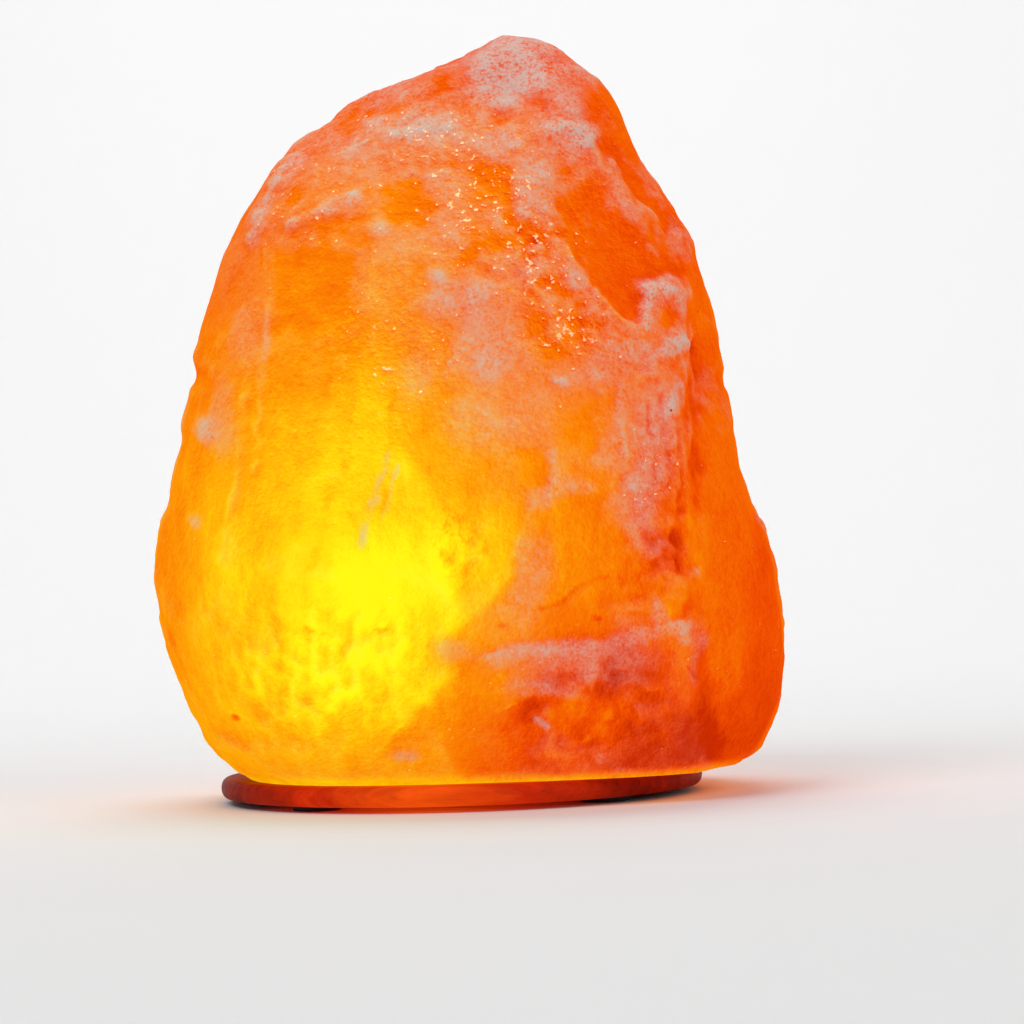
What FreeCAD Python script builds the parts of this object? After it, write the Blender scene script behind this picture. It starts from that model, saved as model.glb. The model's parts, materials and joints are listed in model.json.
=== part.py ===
"""Salt crystal lamp: a rough-hewn block of rock salt on a thin turned wooden base, lit from inside.

The crystal is sawn flat underneath and drilled up its middle. A small screw-base lamp sits in that hole
in an insulated lampholder, and two bowed spring arms grip the hole's wall, so the holder pulls out
downwards to change the lamp. Three wood screws in plastic plugs hold the base to the salt.

Frame: millimetres, +Z up, origin on the table under the middle of the crystal. The front faces -Y, and
the cord's groove runs out of the back, +Y. The pieces are built round the lamp's own axis, which is the
middle of the base. Writing them moves them to the frame. Every piece is one node, parts/NODE.step.
"""

import FreeCAD
import Part

import math
import os

from FreeCAD import Vector

# ---------------------------------------------------------------- crystal
crystal_width = 156.0
crystal_depth = 130.0
crystal_height = 182.4
crystal_off_axis = 3.2  # how far the crystal's middle stands to the right of the lamp's axis
cavity_depth = 98.0
cavity_end_taper = 5.0  # the drill's tapered end
section_corners = 44  # corners round each section of the crystal
low_fullness = 2.7  # how square the sections are: 2 is an ellipse
high_fullness = 2.2
stroke_fade = 0.5  # share of half the depth under which ridges and hollows fade out
least_reach = 0.5  # how much of a section's reach a hollow leaves at least

# ---------------------------------------------------------------- wooden base and its fastenings
base_diameter = 120.0
base_thickness = 5.0
base_edge_chamfer = 1.0
base_edge_bead = 1.0  # how far the rim's middle stands out between its two slopes
base_hole_diameter = 44.0
groove_width = 6.5
groove_depth = 3.2
foot_diameter = 12.0
foot_thickness = 2.6
foot_recess = 1.1
foot_circle_diameter = 98.0
foot_count = 4
foot_first_angle = 45.0
screw_count = 3
screw_first_angle = 30.0
screw_circle_diameter = 72.0
screw_end_gap = 0.4  # between the screw's point and the plug's closed end
screw_shank_diameter = 3.5
screw_head_diameter = 7.0
screw_tip_length = 3.5
screw_slot_width = 1.0
screw_slot_depth = 0.9
plug_diameter = 6.0
plug_length = 15.0
plug_end = 1.2  # the plug's closed end
plug_flutes = 4
plug_flute_depth = 0.7
plug_flute_width = 1.2
plug_flute_start = 2.0  # over the plug's lower end

# ---------------------------------------------------------------- lampholder
cord_turn_height = 6.5  # height over the base's underside in which the cord turns into its groove
cord_hole_diameter = 6.5
nipple_diameter = 10.0
nipple_length = 11.0
nipple_end_stand = 1.4  # how far the nipple stands out of its nut
nut_sides = 6
nut_across_flats = 14.0
nut_thickness = 3.0
clip_thickness = 0.6
clip_width = 14.0
clip_height = 26.0
clip_bow = 5.0  # how far the arm's top leans back in from the wall
cap_diameter = 27.0
cap_height = 14.0
cap_floor = 2.5
cap_step_height = 3.0
cap_step_depth = 0.9
cap_rim_wall = 1.2
cap_slope = 3.5
skirt_height = 22.0
skirt_wall = 1.8
skirt_mouth_diameter = 17.6
skirt_lip = 1.6
core_foot_height = 3.0
core_wall = 2.4
shell_bore_diameter = 14.4
shell_thickness = 0.5
shell_height = 17.0
shell_lip = 1.8
shell_tab_width = 4.0
terminal_width = 5.0
terminal_height = 6.0
terminal_spacing = 13.0
terminal_screw_diameter = 2.5
terminal_wire_hole = 2.2
terminal_wire_depth = 4.5
terminal_screw_stand = 0.6  # how far the screw stands out of its block
contact_flat = 3.2
contact_strip_width = 4.0
contact_strip_thickness = 0.4
contact_rise = 1.8
contact_slot_offset = 6.0

# ---------------------------------------------------------------- lamp
bulb_contact_diameter = 4.0
bulb_contact_height = 0.9
insulator_height = 2.6
insulator_diameter = 11.6
insulator_nose_diameter = 6.0
lamp_cap_diameter = 13.6
lamp_cap_height = 14.5
lamp_cap_wall = 0.3
glass_diameter = 24.0
glass_wall = 0.7
glass_neck_diameter = 11.4
glass_length = 40.0  # from the cap's rim to the top
dome_steps = 3  # straight runs that the glass's round top is drawn with
glass_sunk = 4.0  # how deep the neck sits in the cap
stem_height = 14.0
stem_diameter = 4.6
wire_diameter = 0.5
filament_diameter = 0.9
filament_span = 13.0
filament_height = 24.0  # over the cap's rim
filament_rise = 2.2
support_gap = 0.3  # the support's tip under the filament

# ---------------------------------------------------------------- clearances
loose_fit = 0.1  # a piece set in a recess, per side
slide_gap = 0.22  # the spring arms to the base's hole
cavity_over_hole = 0.3  # how much further out the salt's wall stands than the wood's
contact_gap = 0.3  # the lamp's contact over the centre strip
overcut = 1.0  # how far a shape that cuts reaches past what it cuts

# The crystal's outline: share of its height, then how far it reaches to the left, right, front and
# back, as shares of half its width and half its depth. Left is -X. Below 0 is past the middle.
OUTLINE = (
    (0.000, 0.698, 0.864, 0.84, 0.84),
    (0.019, 0.777, 0.912, 0.89, 0.89),
    (0.051, 0.841, 0.954, 0.93, 0.93),
    (0.106, 0.900, 1.002, 0.97, 0.97),
    (0.181, 0.949, 1.013, 1.00, 1.00),
    (0.263, 0.988, 0.996, 1.00, 1.00),
    (0.322, 0.974, 0.968, 0.98, 0.98),
    (0.398, 0.931, 0.897, 0.95, 0.95),
    (0.479, 0.869, 0.871, 0.90, 0.91),
    (0.571, 0.829, 0.833, 0.83, 0.85),
    (0.636, 0.792, 0.815, 0.77, 0.80),
    (0.712, 0.742, 0.756, 0.69, 0.72),
    (0.777, 0.656, 0.668, 0.60, 0.63),
    (0.831, 0.581, 0.594, 0.51, 0.54),
    (0.874, 0.477, 0.556, 0.42, 0.46),
    (0.918, 0.318, 0.518, 0.32, 0.37),
    (0.956, 0.085, 0.428, 0.22, 0.27),
    (0.983, -0.065, 0.367, 0.12, 0.18),
    (1.000, -0.165, 0.300, 0.03, 0.10),
)

# Ridges and hollows: side (-1 front, 1 back), the line's two ends as shares of half the width and of
# the height, its half-width and its height in hundredths of the crystal's height. A hollow's is below 0.
STROKES = (
    (-1, (0.76, 0.60), (0.80, 0.00), 2.7, -2.2),  # the crease in front of the right-hand lobe
    (-1, (0.68, 0.61), (0.71, 0.03), 3.8, 1.4),  # the frosted edge beside it
    (-1, (0.42, 0.78), (0.64, 0.64), 4.4, -2.5),  # the scooped face under the right shoulder
    (-1, (0.36, 0.87), (0.72, 0.67), 2.7, 1.4),  # the ridge over it
    (-1, (0.66, 0.64), (0.66, 0.59), 3.3, 1.0),  # the knob at the scoop's foot
    (-1, (0.15, 0.155), (0.52, 0.155), 2.2, 0.8),  # the low shelf
    (-1, (0.16, 0.075), (0.66, 0.085), 4.1, -1.4),  # the hollow under it
    (-1, (0.32, 0.52), (0.02, 0.17), 6.6, 1.1),  # the swell between the two front faces
    (-1, (-0.64, 0.60), (-0.70, 0.28), 3.3, 0.8),  # the left-hand edge
    (-1, (-0.19, 0.67), (-0.48, 0.25), 2.7, -0.5),  # two faint flutes
    (-1, (-0.02, 0.64), (-0.32, 0.30), 2.7, -0.5),
    (-1, (-0.34, 0.12), (-0.62, 0.16), 4.4, -0.9),  # the dimpled patch low on the left
    (1, (-0.50, 0.70), (-0.20, 0.10), 4.9, 1.6),  # the back: two ridges and the hollows beside them
    (1, (0.30, 0.85), (0.52, 0.15), 4.4, 1.6),
    (1, (0.06, 0.60), (0.14, 0.20), 7.7, -1.9),
    (1, (-0.66, 0.35), (-0.60, 0.15), 4.9, -1.3),
)

# Cleavage faces: the direction that each faces as turn from +X and rise in degrees, and how far its
# plane cuts in from the furthest point that way, in hundredths of the crystal's height.
CLEAVAGES = (
    (-108.0, 6.0, 1.9),  # the front's left-hand face, where the lamp shines through
    (-80.0, 3.0, 1.3),  # the front's right-hand face
    (-96.0, 36.0, 2.5),  # the sloping face over both
    (-132.0, 52.0, 1.6),  # the shoulders, left and right
    (-34.0, 26.0, 1.4),
    (-146.0, 10.0, 1.8),  # the left-hand flank and the right-hand lobe
    (-28.0, -4.0, 1.3),
    (96.0, 30.0, 2.7),  # the back: one face above and two below
    (62.0, 6.0, 2.4),
    (124.0, 4.0, 2.5),
    (22.0, 36.0, 1.6),
    (160.0, 28.0, 1.6),
)

# ---------------------------------------------------------------- heights that follow from the sizes
hundredth = crystal_height / 100  # the unit of the crystal's ridges, hollows and cleavage faces
base_hole_radius = base_hole_diameter / 2
cavity_radius = base_hole_radius + cavity_over_hole
foot_stand = foot_thickness - foot_recess
base_top = foot_stand + base_thickness
nipple_bottom = foot_stand + cord_turn_height
nut_bottom = nipple_bottom + nipple_end_stand
clip_bottom = nut_bottom + nut_thickness
cap_bottom = clip_bottom + clip_thickness
cap_top = cap_bottom + cap_height
skirt_top = cap_top + skirt_height
core_bottom = cap_top + loose_fit
core_disc_top = core_bottom + core_foot_height
shell_top = skirt_top - skirt_lip
shell_bottom = shell_top - shell_height
contact_top = core_disc_top + contact_strip_thickness + contact_rise
bulb_bottom = contact_top + contact_gap
insulator_bottom = bulb_bottom + bulb_contact_height
lamp_cap_bottom = insulator_bottom + insulator_height
lamp_cap_top = lamp_cap_bottom + lamp_cap_height
glass_bottom = lamp_cap_top - glass_sunk
glass_top = lamp_cap_top + glass_length
shell_radius = shell_bore_diameter / 2
core_bore_radius = shell_radius + shell_thickness + loose_fit
nipple_bore_radius = nipple_diameter / 2 + loose_fit / 2
cap_step_radius = cap_diameter / 2 - cap_step_depth
insulator_radius = insulator_diameter / 2
skirt_inner_radius = cap_diameter / 2 - skirt_wall
filament_level = lamp_cap_top + filament_height
stem_top = glass_bottom + stem_height

UP = Vector(0, 0, 1)


# ---------------------------------------------------------------- general helpers
def cylinder(radius, bottom, top, x=0.0, y=0.0):
    """An upright cylinder between two heights."""
    return Part.makeCylinder(radius, top - bottom, Vector(x, y, bottom), UP)


def tube(outer_radius, inner_radius, bottom, top):
    """An upright tube between two heights."""
    return cylinder(outer_radius, bottom, top).cut(cylinder(inner_radius, bottom, top))


def revolved(points):
    """A solid turned about the Z axis from a closed outline of (radius, height) corners.

    A corner may be a pair of points, (middle, end): the outline then reaches its end by an arc.
    """
    edges = []
    here = Vector(points[0][0], 0, points[0][1])
    first = here
    for step in points[1:]:
        if isinstance(step[0], tuple):
            middle, end = (Vector(r, 0, z) for r, z in step)
            edges.append(Part.Arc(here, middle, end).toShape())
        else:
            end = Vector(step[0], 0, step[1])
            edges.append(Part.LineSegment(here, end).toShape())
        here = end
    if here.distanceToPoint(first) > 1e-6:
        edges.append(Part.LineSegment(here, first).toShape())
    face = Part.Face(Part.Wire(edges))
    return face.revolve(Vector(0, 0, 0), UP, 360)


def box(x_low, y_low, z_low, x_high, y_high, z_high):
    """A block between two corners."""
    return Part.makeBox(
        x_high - x_low, y_high - y_low, z_high - z_low, Vector(x_low, y_low, z_low)
    )


def ring_places(diameter, count, first_angle):
    """Evenly spaced (x, y) places on a circle about the origin."""
    turns = [math.radians(first_angle + 360.0 * i / count) for i in range(count)]
    return [(diameter / 2 * math.cos(a), diameter / 2 * math.sin(a)) for a in turns]


def write(name, *solids):
    """Writes one node's STEP file, moved so that the crystal's middle is over the origin."""
    placed = [solid.translated(Vector(-crystal_off_axis, 0, 0)) for solid in solids]
    shape = placed[0] if len(placed) == 1 else Part.makeCompound(placed)
    shape.exportStep("parts/" + name + ".step")


# ---------------------------------------------------------------- the crystal
def stroke_lift(x, z, side):
    """How far ridges and hollows move a point of that side outwards, seen square on, in millimetres."""
    lift = 0.0
    for stroke_side, low, high, half_width, height in STROKES:
        if stroke_side != side:
            continue
        ax, az = low[0] * crystal_width / 2, low[1] * crystal_height
        bx, bz = high[0] * crystal_width / 2, high[1] * crystal_height
        along = ((x - ax) * (bx - ax) + (z - az) * (bz - az)) / ((bx - ax) ** 2 + (bz - az) ** 2)
        along = min(1.0, max(0.0, along))
        away = math.hypot(x - ax - along * (bx - ax), z - az - along * (bz - az))
        lift += height * hundredth * math.exp(-((away / half_width / hundredth) ** 2))
    return lift


def crystal_section(share, left, right, front, back):
    """One level section of the crystal: a polygon, squarer low down, with its ridges and hollows."""
    z = share * crystal_height
    middle_x = (right - left) * crystal_width / 4
    half_x = (right + left) * crystal_width / 4
    middle_y = (back - front) * crystal_depth / 4
    half_y = (back + front) * crystal_depth / 4
    power = low_fullness + (high_fullness - low_fullness) * share
    corners = []
    for i in range(section_corners):
        turn = 2 * math.pi * i / section_corners
        c, s = math.cos(turn), math.sin(turn)
        reach = (abs(c / half_x) ** power + abs(s / half_y) ** power) ** (-1 / power)
        x, y = reach * c, reach * s
        facing = min(1.0, abs(y) / half_y / stroke_fade)
        lift = stroke_lift(middle_x + x, z, 1 if y > 0 else -1) * facing
        reach = max(reach + lift, least_reach * reach)
        corners.append(Vector(middle_x + reach * c, middle_y + reach * s, base_top + z))
    return Part.makePolygon(corners + corners[:1])


def beyond_cleavage(rough, turn, rise, cut_in):
    """A slab of everything past a plane that cuts in from the crystal's furthest point on that side."""
    a, e = math.radians(turn), math.radians(rise)
    facing = Vector(math.cos(a) * math.cos(e), math.sin(a) * math.cos(e), math.sin(e))
    middle = Vector(0, 0, base_top + crystal_height / 2)
    furthest = max((corner.Point - middle).dot(facing) for corner in rough.Vertexes)
    side = 2 * (crystal_width + crystal_height)
    slab = Part.makeBox(side, side, side, Vector(-side / 2, -side / 2, 0))
    slab.Placement = FreeCAD.Placement(
        middle + facing * (furthest - cut_in * hundredth), FreeCAD.Rotation(UP, facing)
    )
    return slab


def set_beside_axis(block):
    """The block with the middle of its plan's box to the right of the lamp's axis."""
    around = block.BoundBox
    block.translate(Vector(crystal_off_axis - around.Center.x, -around.Center.y, 0))
    return block


def hewn_block():
    """The block as it was hewn: a loft through its sections, then each cleavage face as one flat cut."""
    rough = Part.makeLoft([crystal_section(*row) for row in OUTLINE], True, True)
    side = 2 * (crystal_width + crystal_height)
    kept = Part.makeBox(side, side, side, Vector(-side / 2, -side / 2, -side / 2))
    for turn, rise, cut_in in CLEAVAGES:
        kept = kept.cut(beyond_cleavage(rough, turn, rise, cut_in))
    return set_beside_axis(rough.common(kept))


def salt_crystal():
    """The hewn block, with the hole for the lamp and the three holes for the screw plugs."""
    radius, end = cavity_radius, base_top + cavity_depth
    hole = revolved(
        [
            (0, base_top - overcut),
            (radius, base_top - overcut),
            (radius, end - cavity_end_taper),
            (radius - cavity_end_taper, end),
            (0, end),
        ]
    )
    block = hewn_block().cut(hole)
    for x, y in ring_places(screw_circle_diameter, screw_count, screw_first_angle):
        hole_top = base_top + plug_length + plug_end
        plug_hole = cylinder(plug_diameter / 2 + loose_fit, base_top - overcut, hole_top, x, y)
        block = block.cut(plug_hole)
    return block


# ---------------------------------------------------------------- the base
def screw_recess(x, y):
    """The countersunk hole in the base for one screw."""
    shank = screw_shank_diameter / 2 + loose_fit
    head = screw_head_diameter / 2 + loose_fit
    sink = Part.makeCone(head, shank, head - shank, Vector(x, y, foot_stand), UP)
    return cylinder(shank, foot_stand - overcut, base_top + overcut, x, y).fuse(sink)


def wood_base():
    """The turned disc: its rim slopes in above and below, with a hole for the lampholder in its middle.

    A groove for the cord runs out at the back of its underside.
    """
    radius, hole = base_diameter / 2, base_hole_radius
    middle = (foot_stand + base_top) / 2
    shoulder = radius - base_edge_bead
    disc = revolved(
        [
            (hole, foot_stand),
            (shoulder - base_edge_chamfer, foot_stand),
            (shoulder, foot_stand + base_edge_chamfer),
            (radius, middle),
            (shoulder, base_top - base_edge_chamfer),
            (shoulder - base_edge_chamfer, base_top),
            (hole, base_top),
        ]
    )
    half_groove, groove_top = groove_width / 2, foot_stand + groove_depth
    groove = box(-half_groove, 0, foot_stand - overcut, half_groove, radius + overcut, groove_top)
    disc = disc.cut(groove)
    for x, y in ring_places(foot_circle_diameter, foot_count, foot_first_angle):
        seat = cylinder(foot_diameter / 2 + loose_fit, foot_stand - overcut, foot_thickness, x, y)
        disc = disc.cut(seat)
    for x, y in ring_places(screw_circle_diameter, screw_count, screw_first_angle):
        disc = disc.cut(screw_recess(x, y))
    return disc


def rubber_foot(x, y):
    """A round stick-on foot with a softened lower edge."""
    radius, round_off = foot_diameter / 2, foot_stand / 3
    foot = revolved(
        [
            (0, 0),
            (radius - round_off, 0),
            (radius, round_off),
            (radius, foot_thickness),
            (0, foot_thickness),
        ]
    )
    foot.translate(Vector(x, y, 0))
    return foot


def wood_screw(x, y):
    """A countersunk screw with a plain shank, its point up and its slot in the head underneath."""
    head, shank = screw_head_diameter / 2, screw_shank_diameter / 2
    head_bottom = foot_stand + loose_fit
    top = base_top + plug_length - plug_end - screw_end_gap
    screw = revolved(
        [
            (0, head_bottom),
            (head, head_bottom),
            (shank, head_bottom + head - shank),
            (shank, top - screw_tip_length),
            (0, top),
        ]
    )
    half_slot = screw_slot_width / 2
    slot_top = head_bottom + screw_slot_depth
    slot = box(-head, -half_slot, head_bottom - overcut, head, half_slot, slot_top)
    screw = screw.cut(slot)
    screw.translate(Vector(x, y, 0))
    return screw


def screw_plug(x, y):
    """A fluted plastic plug, bored for the screw and closed at its top."""
    radius, top = plug_diameter / 2, base_top + plug_length
    half_flute, flute_bottom = plug_flute_width / 2, base_top + plug_flute_start
    flute_floor = radius - plug_flute_depth
    plug = cylinder(radius, base_top, top)
    plug = plug.cut(cylinder(screw_shank_diameter / 2 + loose_fit / 2, base_top, top - plug_end))
    for i in range(plug_flutes):
        flute = box(-half_flute, flute_floor, flute_bottom, half_flute, radius + overcut, top + overcut)
        flute.rotate(Vector(0, 0, 0), UP, 360.0 * i / plug_flutes)
        plug = plug.cut(flute)
    plug.translate(Vector(x, y, 0))
    return plug


# ---------------------------------------------------------------- the lampholder
def cord_nipple():
    """The hollow threaded nipple that the cord comes in through."""
    return tube(
        nipple_diameter / 2, cord_hole_diameter / 2, nipple_bottom, nipple_bottom + nipple_length
    )


def clip_nut():
    """The hexagon nut that holds the spring clip up against the cap."""
    corner = nut_across_flats / 2 / math.cos(math.pi / nut_sides)
    turns = [2 * math.pi * i / nut_sides for i in range(nut_sides + 1)]
    corners = [Vector(corner * math.cos(a), corner * math.sin(a), nut_bottom) for a in turns]
    prism = Part.Face(Part.makePolygon(corners)).extrude(Vector(0, 0, nut_thickness))
    return prism.cut(cylinder(nipple_bore_radius, nut_bottom - overcut, clip_bottom + overcut))


def spring_arm(side):
    """One spring arm: out along the cap's underside, up the wall in a bow, and back in at its top."""
    out = math.sqrt((base_hole_radius - slide_gap) ** 2 - (clip_width / 2) ** 2)
    low, high = clip_bottom, clip_bottom + clip_height
    middle = (low + high) / 2
    rim = out - clip_bow
    outer = [Vector(side * x, 0, z) for x, z in ((rim, low), (out, middle), (rim, high))]
    inner = [
        Vector(side * (x - clip_thickness), 0, z)
        for x, z in ((rim, low + clip_thickness), (out, middle), (rim, high))
    ]
    strip_top = Vector(0, 0, low + clip_thickness)
    strip_bottom = Vector(0, 0, low)
    outline = [
        Part.LineSegment(strip_bottom, outer[0]).toShape(),
        Part.Arc(*outer).toShape(),
        Part.LineSegment(outer[2], inner[2]).toShape(),
        Part.Arc(*reversed(inner)).toShape(),
        Part.LineSegment(inner[0], strip_top).toShape(),
        Part.LineSegment(strip_top, strip_bottom).toShape(),
    ]
    arm = Part.Face(Part.Wire(outline)).extrude(Vector(0, clip_width, 0))
    arm.translate(Vector(0, -clip_width / 2, 0))
    return arm


def spring_clip():
    """The steel strip under the cap, whose two bowed arms bear on the wall of the hole."""
    strip = spring_arm(-1).fuse(spring_arm(1)).removeSplitter()
    return strip.cut(cylinder(nipple_bore_radius, clip_bottom - overcut, cap_bottom + overcut))


def holder_cap():
    """The cap that closes the holder from below, with a stepped rim that the skirt goes over."""
    radius = cap_diameter / 2
    rim_inner = cap_step_radius - cap_rim_wall
    return revolved(
        [
            (nipple_bore_radius, cap_bottom),
            (radius - cap_slope, cap_bottom),
            (radius, cap_bottom + cap_slope),
            (radius, cap_top - cap_step_height),
            (cap_step_radius, cap_top - cap_step_height),
            (cap_step_radius, cap_top),
            (rim_inner, cap_top),
            (rim_inner, cap_bottom + cap_floor),
            (nipple_bore_radius, cap_bottom + cap_floor),
        ]
    )


def holder_skirt():
    """The outer sleeve. It clamps the core's disc to the cap's rim and turns in over the shell's lip."""
    outer, mouth = cap_diameter / 2, skirt_mouth_diameter / 2
    seat = cap_step_radius + loose_fit
    bottom = cap_top - cap_step_height + loose_fit
    return revolved(
        [
            (seat, bottom),
            (outer, bottom),
            (outer, skirt_top - skirt_lip),
            (outer - skirt_lip, skirt_top),
            (mouth, skirt_top),
            (mouth, shell_top + loose_fit),
            (skirt_inner_radius, shell_top + loose_fit),
            (skirt_inner_radius, core_disc_top + loose_fit),
            (seat, core_disc_top + loose_fit),
        ]
    )


def shell_tab(spread):
    """The tab from the threaded shell down through the core's disc, or its slot if spread is over 0."""
    ring = tube(
        shell_radius + shell_thickness + spread,
        shell_radius - spread,
        core_bottom - spread,
        shell_bottom + shell_thickness,
    )
    half = shell_tab_width / 2 + spread
    reach = cap_diameter / 2
    return ring.common(box(-reach, -half, core_bottom - overcut, 0, half, shell_top))


def contact_leg(spread):
    """The centre contact's leg through the core's disc, or its slot if spread is over 0."""
    half_thick = contact_strip_thickness / 2 + spread
    half_wide = contact_strip_width / 2 + spread
    return box(
        contact_slot_offset - half_thick,
        -half_wide,
        core_bottom - spread,
        contact_slot_offset + half_thick,
        half_wide,
        core_disc_top + spread,
    )


def holder_core():
    """The insulating core: a disc with a tube on it that the threaded shell stands in."""
    outer = core_bore_radius + core_wall
    top = shell_top - shell_thickness - loose_fit
    core = revolved(
        [
            (0, core_bottom),
            (cap_step_radius, core_bottom),
            (cap_step_radius, core_disc_top),
            (outer, core_disc_top),
            (outer, top),
            (core_bore_radius, top),
            (core_bore_radius, core_disc_top),
            (0, core_disc_top),
        ]
    )
    return core.cut(shell_tab(loose_fit)).cut(contact_leg(loose_fit))


def threaded_shell():
    """The brass shell that takes the lamp's cap, with a lip on the core and a tab to its terminal."""
    outer = shell_radius + shell_thickness
    sleeve = tube(outer, shell_radius, shell_bottom, shell_top)
    lip = tube(outer + shell_lip, shell_radius, shell_top - shell_thickness, shell_top)
    return sleeve.fuse([lip, shell_tab(0.0)]).removeSplitter()


def centre_contact():
    """The springy strip on the core's disc: it rises to a flat under the lamp's tip and dips again."""
    foot_top = core_disc_top + contact_strip_thickness
    half_flat = contact_flat / 2
    top = [
        (contact_slot_offset + contact_strip_thickness / 2, foot_top),
        (half_flat + contact_rise, foot_top),
        (half_flat, contact_top),
        (-half_flat, contact_top),
        (-half_flat - contact_rise / 2, contact_top - contact_rise / 2),
    ]
    bottom = [(x, z - contact_strip_thickness) for x, z in reversed(top)]
    corners = [Vector(x, -contact_strip_width / 2, z) for x, z in top + bottom + top[:1]]
    strip = Part.Face(Part.makePolygon(corners)).extrude(Vector(0, contact_strip_width, 0))
    return strip.fuse(contact_leg(0.0)).removeSplitter()


def terminal_block(side):
    """One brass block under the disc, with a hole for the wire from below and one for the screw."""
    middle = side * terminal_spacing / 2
    half = terminal_width / 2
    bottom = core_bottom - terminal_height
    block = box(middle - half, -half, bottom, middle + half, half, core_bottom)
    wire_top = bottom + terminal_wire_depth
    block = block.cut(cylinder(terminal_wire_hole / 2, bottom - overcut, wire_top, middle))
    screw_hole = Part.makeCylinder(
        terminal_screw_diameter / 2 + loose_fit,
        half + overcut,
        Vector(middle, 0, bottom + terminal_height / 2),
        Vector(side, 0, 0),
    )
    return block.cut(screw_hole)


def terminal_screw(side):
    """The slotted screw that clamps the wire in its block."""
    tip = terminal_spacing / 2 + terminal_wire_hole / 2
    end = terminal_spacing / 2 + terminal_width / 2 + terminal_screw_stand
    radius = terminal_screw_diameter / 2
    level = core_bottom - terminal_height / 2
    screw = Part.makeCylinder(radius, end - tip, Vector(side * tip, 0, level), Vector(side, 0, 0))
    slot_floor = end - terminal_screw_stand
    ends = sorted((side * slot_floor, side * (end + overcut)))
    half_slot = screw_slot_width / 4
    return screw.cut(box(ends[0], -radius, level - half_slot, ends[1], radius, level + half_slot))


# ---------------------------------------------------------------- the lamp
def bulb_contact():
    """The lamp's centre contact, a low brass button with a sloped edge."""
    radius, slope = bulb_contact_diameter / 2, bulb_contact_height / 2
    return revolved(
        [
            (0, bulb_bottom),
            (radius - slope, bulb_bottom),
            (radius, bulb_bottom + slope),
            (radius, insulator_bottom),
            (0, insulator_bottom),
        ]
    )


def cap_insulator():
    """The black glass insulator between the contact and the threaded cap."""
    return revolved(
        [
            (0, insulator_bottom),
            (insulator_nose_diameter / 2, insulator_bottom),
            (insulator_radius, lamp_cap_bottom),
            (insulator_radius, lamp_cap_bottom + lamp_cap_wall),
            (0, lamp_cap_bottom + lamp_cap_wall),
        ]
    )


def lamp_cap():
    """The lamp's brass cap, turned in at its lower end round the insulator."""
    outer = lamp_cap_diameter / 2
    inner = outer - lamp_cap_wall
    turn_in = outer - insulator_radius - loose_fit
    edge = insulator_radius + loose_fit
    return revolved(
        [
            (edge, lamp_cap_bottom),
            (outer, lamp_cap_bottom + turn_in),
            (outer, lamp_cap_top),
            (inner, lamp_cap_top),
            (inner, lamp_cap_bottom + turn_in),
            (edge, lamp_cap_bottom + lamp_cap_wall),
        ]
    )


def cap_cement():
    """The ring of cement that holds the glass in its cap."""
    inner = glass_neck_diameter / 2 + loose_fit
    outer = lamp_cap_diameter / 2 - lamp_cap_wall - loose_fit
    return tube(outer, inner, glass_bottom, lamp_cap_top)


def glass_outline(inset):
    """The glass's outline from neck to top, as (radius, height) steps, moved in by the inset."""
    neck = glass_neck_diameter / 2 - inset
    radius = glass_diameter / 2 - inset
    dome_middle = glass_top - glass_diameter / 2
    shoulder = lamp_cap_top + glass_diameter / 2
    turns = [math.radians(90.0 * i / dome_steps) for i in range(dome_steps + 1)]
    dome = [(radius * math.cos(a), dome_middle + radius * math.sin(a)) for a in turns[:-1]]
    return [
        (neck, glass_bottom),
        (neck, lamp_cap_top + inset / 2),
        (neck + (radius - neck) * 0.7, (lamp_cap_top + shoulder) / 2),
        (radius, shoulder),
        *dome,
        (0, dome_middle + radius),
    ]


def bulb_glass():
    """The clear glass: a straight-sided bulb with a round top, open at its neck."""
    outside = revolved(glass_outline(0.0) + [(0, glass_bottom)])
    inside = revolved(glass_outline(glass_wall) + [(0, glass_bottom)])
    return outside.cut(inside)


def glass_stem():
    """The glass stem that closes the neck and carries the wires."""
    flare = glass_neck_diameter / 2 - glass_wall - loose_fit
    radius = stem_diameter / 2
    return revolved(
        [
            (0, glass_bottom),
            (flare, glass_bottom),
            (radius, glass_bottom + flare - radius),
            (radius, stem_top),
            (0, stem_top),
        ]
    )


def lead_wire(side):
    """One stiff wire from the stem out to an end of the filament."""
    start = Vector(side * stem_diameter / 4, 0, stem_top)
    end = Vector(
        side * (filament_span / 2 - wire_diameter), 0, filament_level - filament_diameter / 2
    )
    along = end - start
    below = along * (wire_diameter / along.Length)
    wire = Part.makeCylinder(wire_diameter / 2, (along + below).Length, start - below, along)
    reach = glass_diameter
    return wire.cut(box(-reach, -reach, glass_bottom, reach, reach, stem_top))


def filament_half(side):
    """Half of the coiled filament: a thin straight rod from a lead up to the support's tip."""
    start = Vector(side * filament_span / 2, 0, filament_level)
    end = Vector(-side * wire_diameter / 2, 0, filament_level + filament_rise)
    return Part.makeCylinder(filament_diameter / 2, (end - start).Length, start, end - start)


def support_wire():
    """The thin wire that holds the filament's middle."""
    top = filament_level + filament_rise - filament_diameter / 2 - support_gap
    return cylinder(wire_diameter / 2, stem_top, top)


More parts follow.
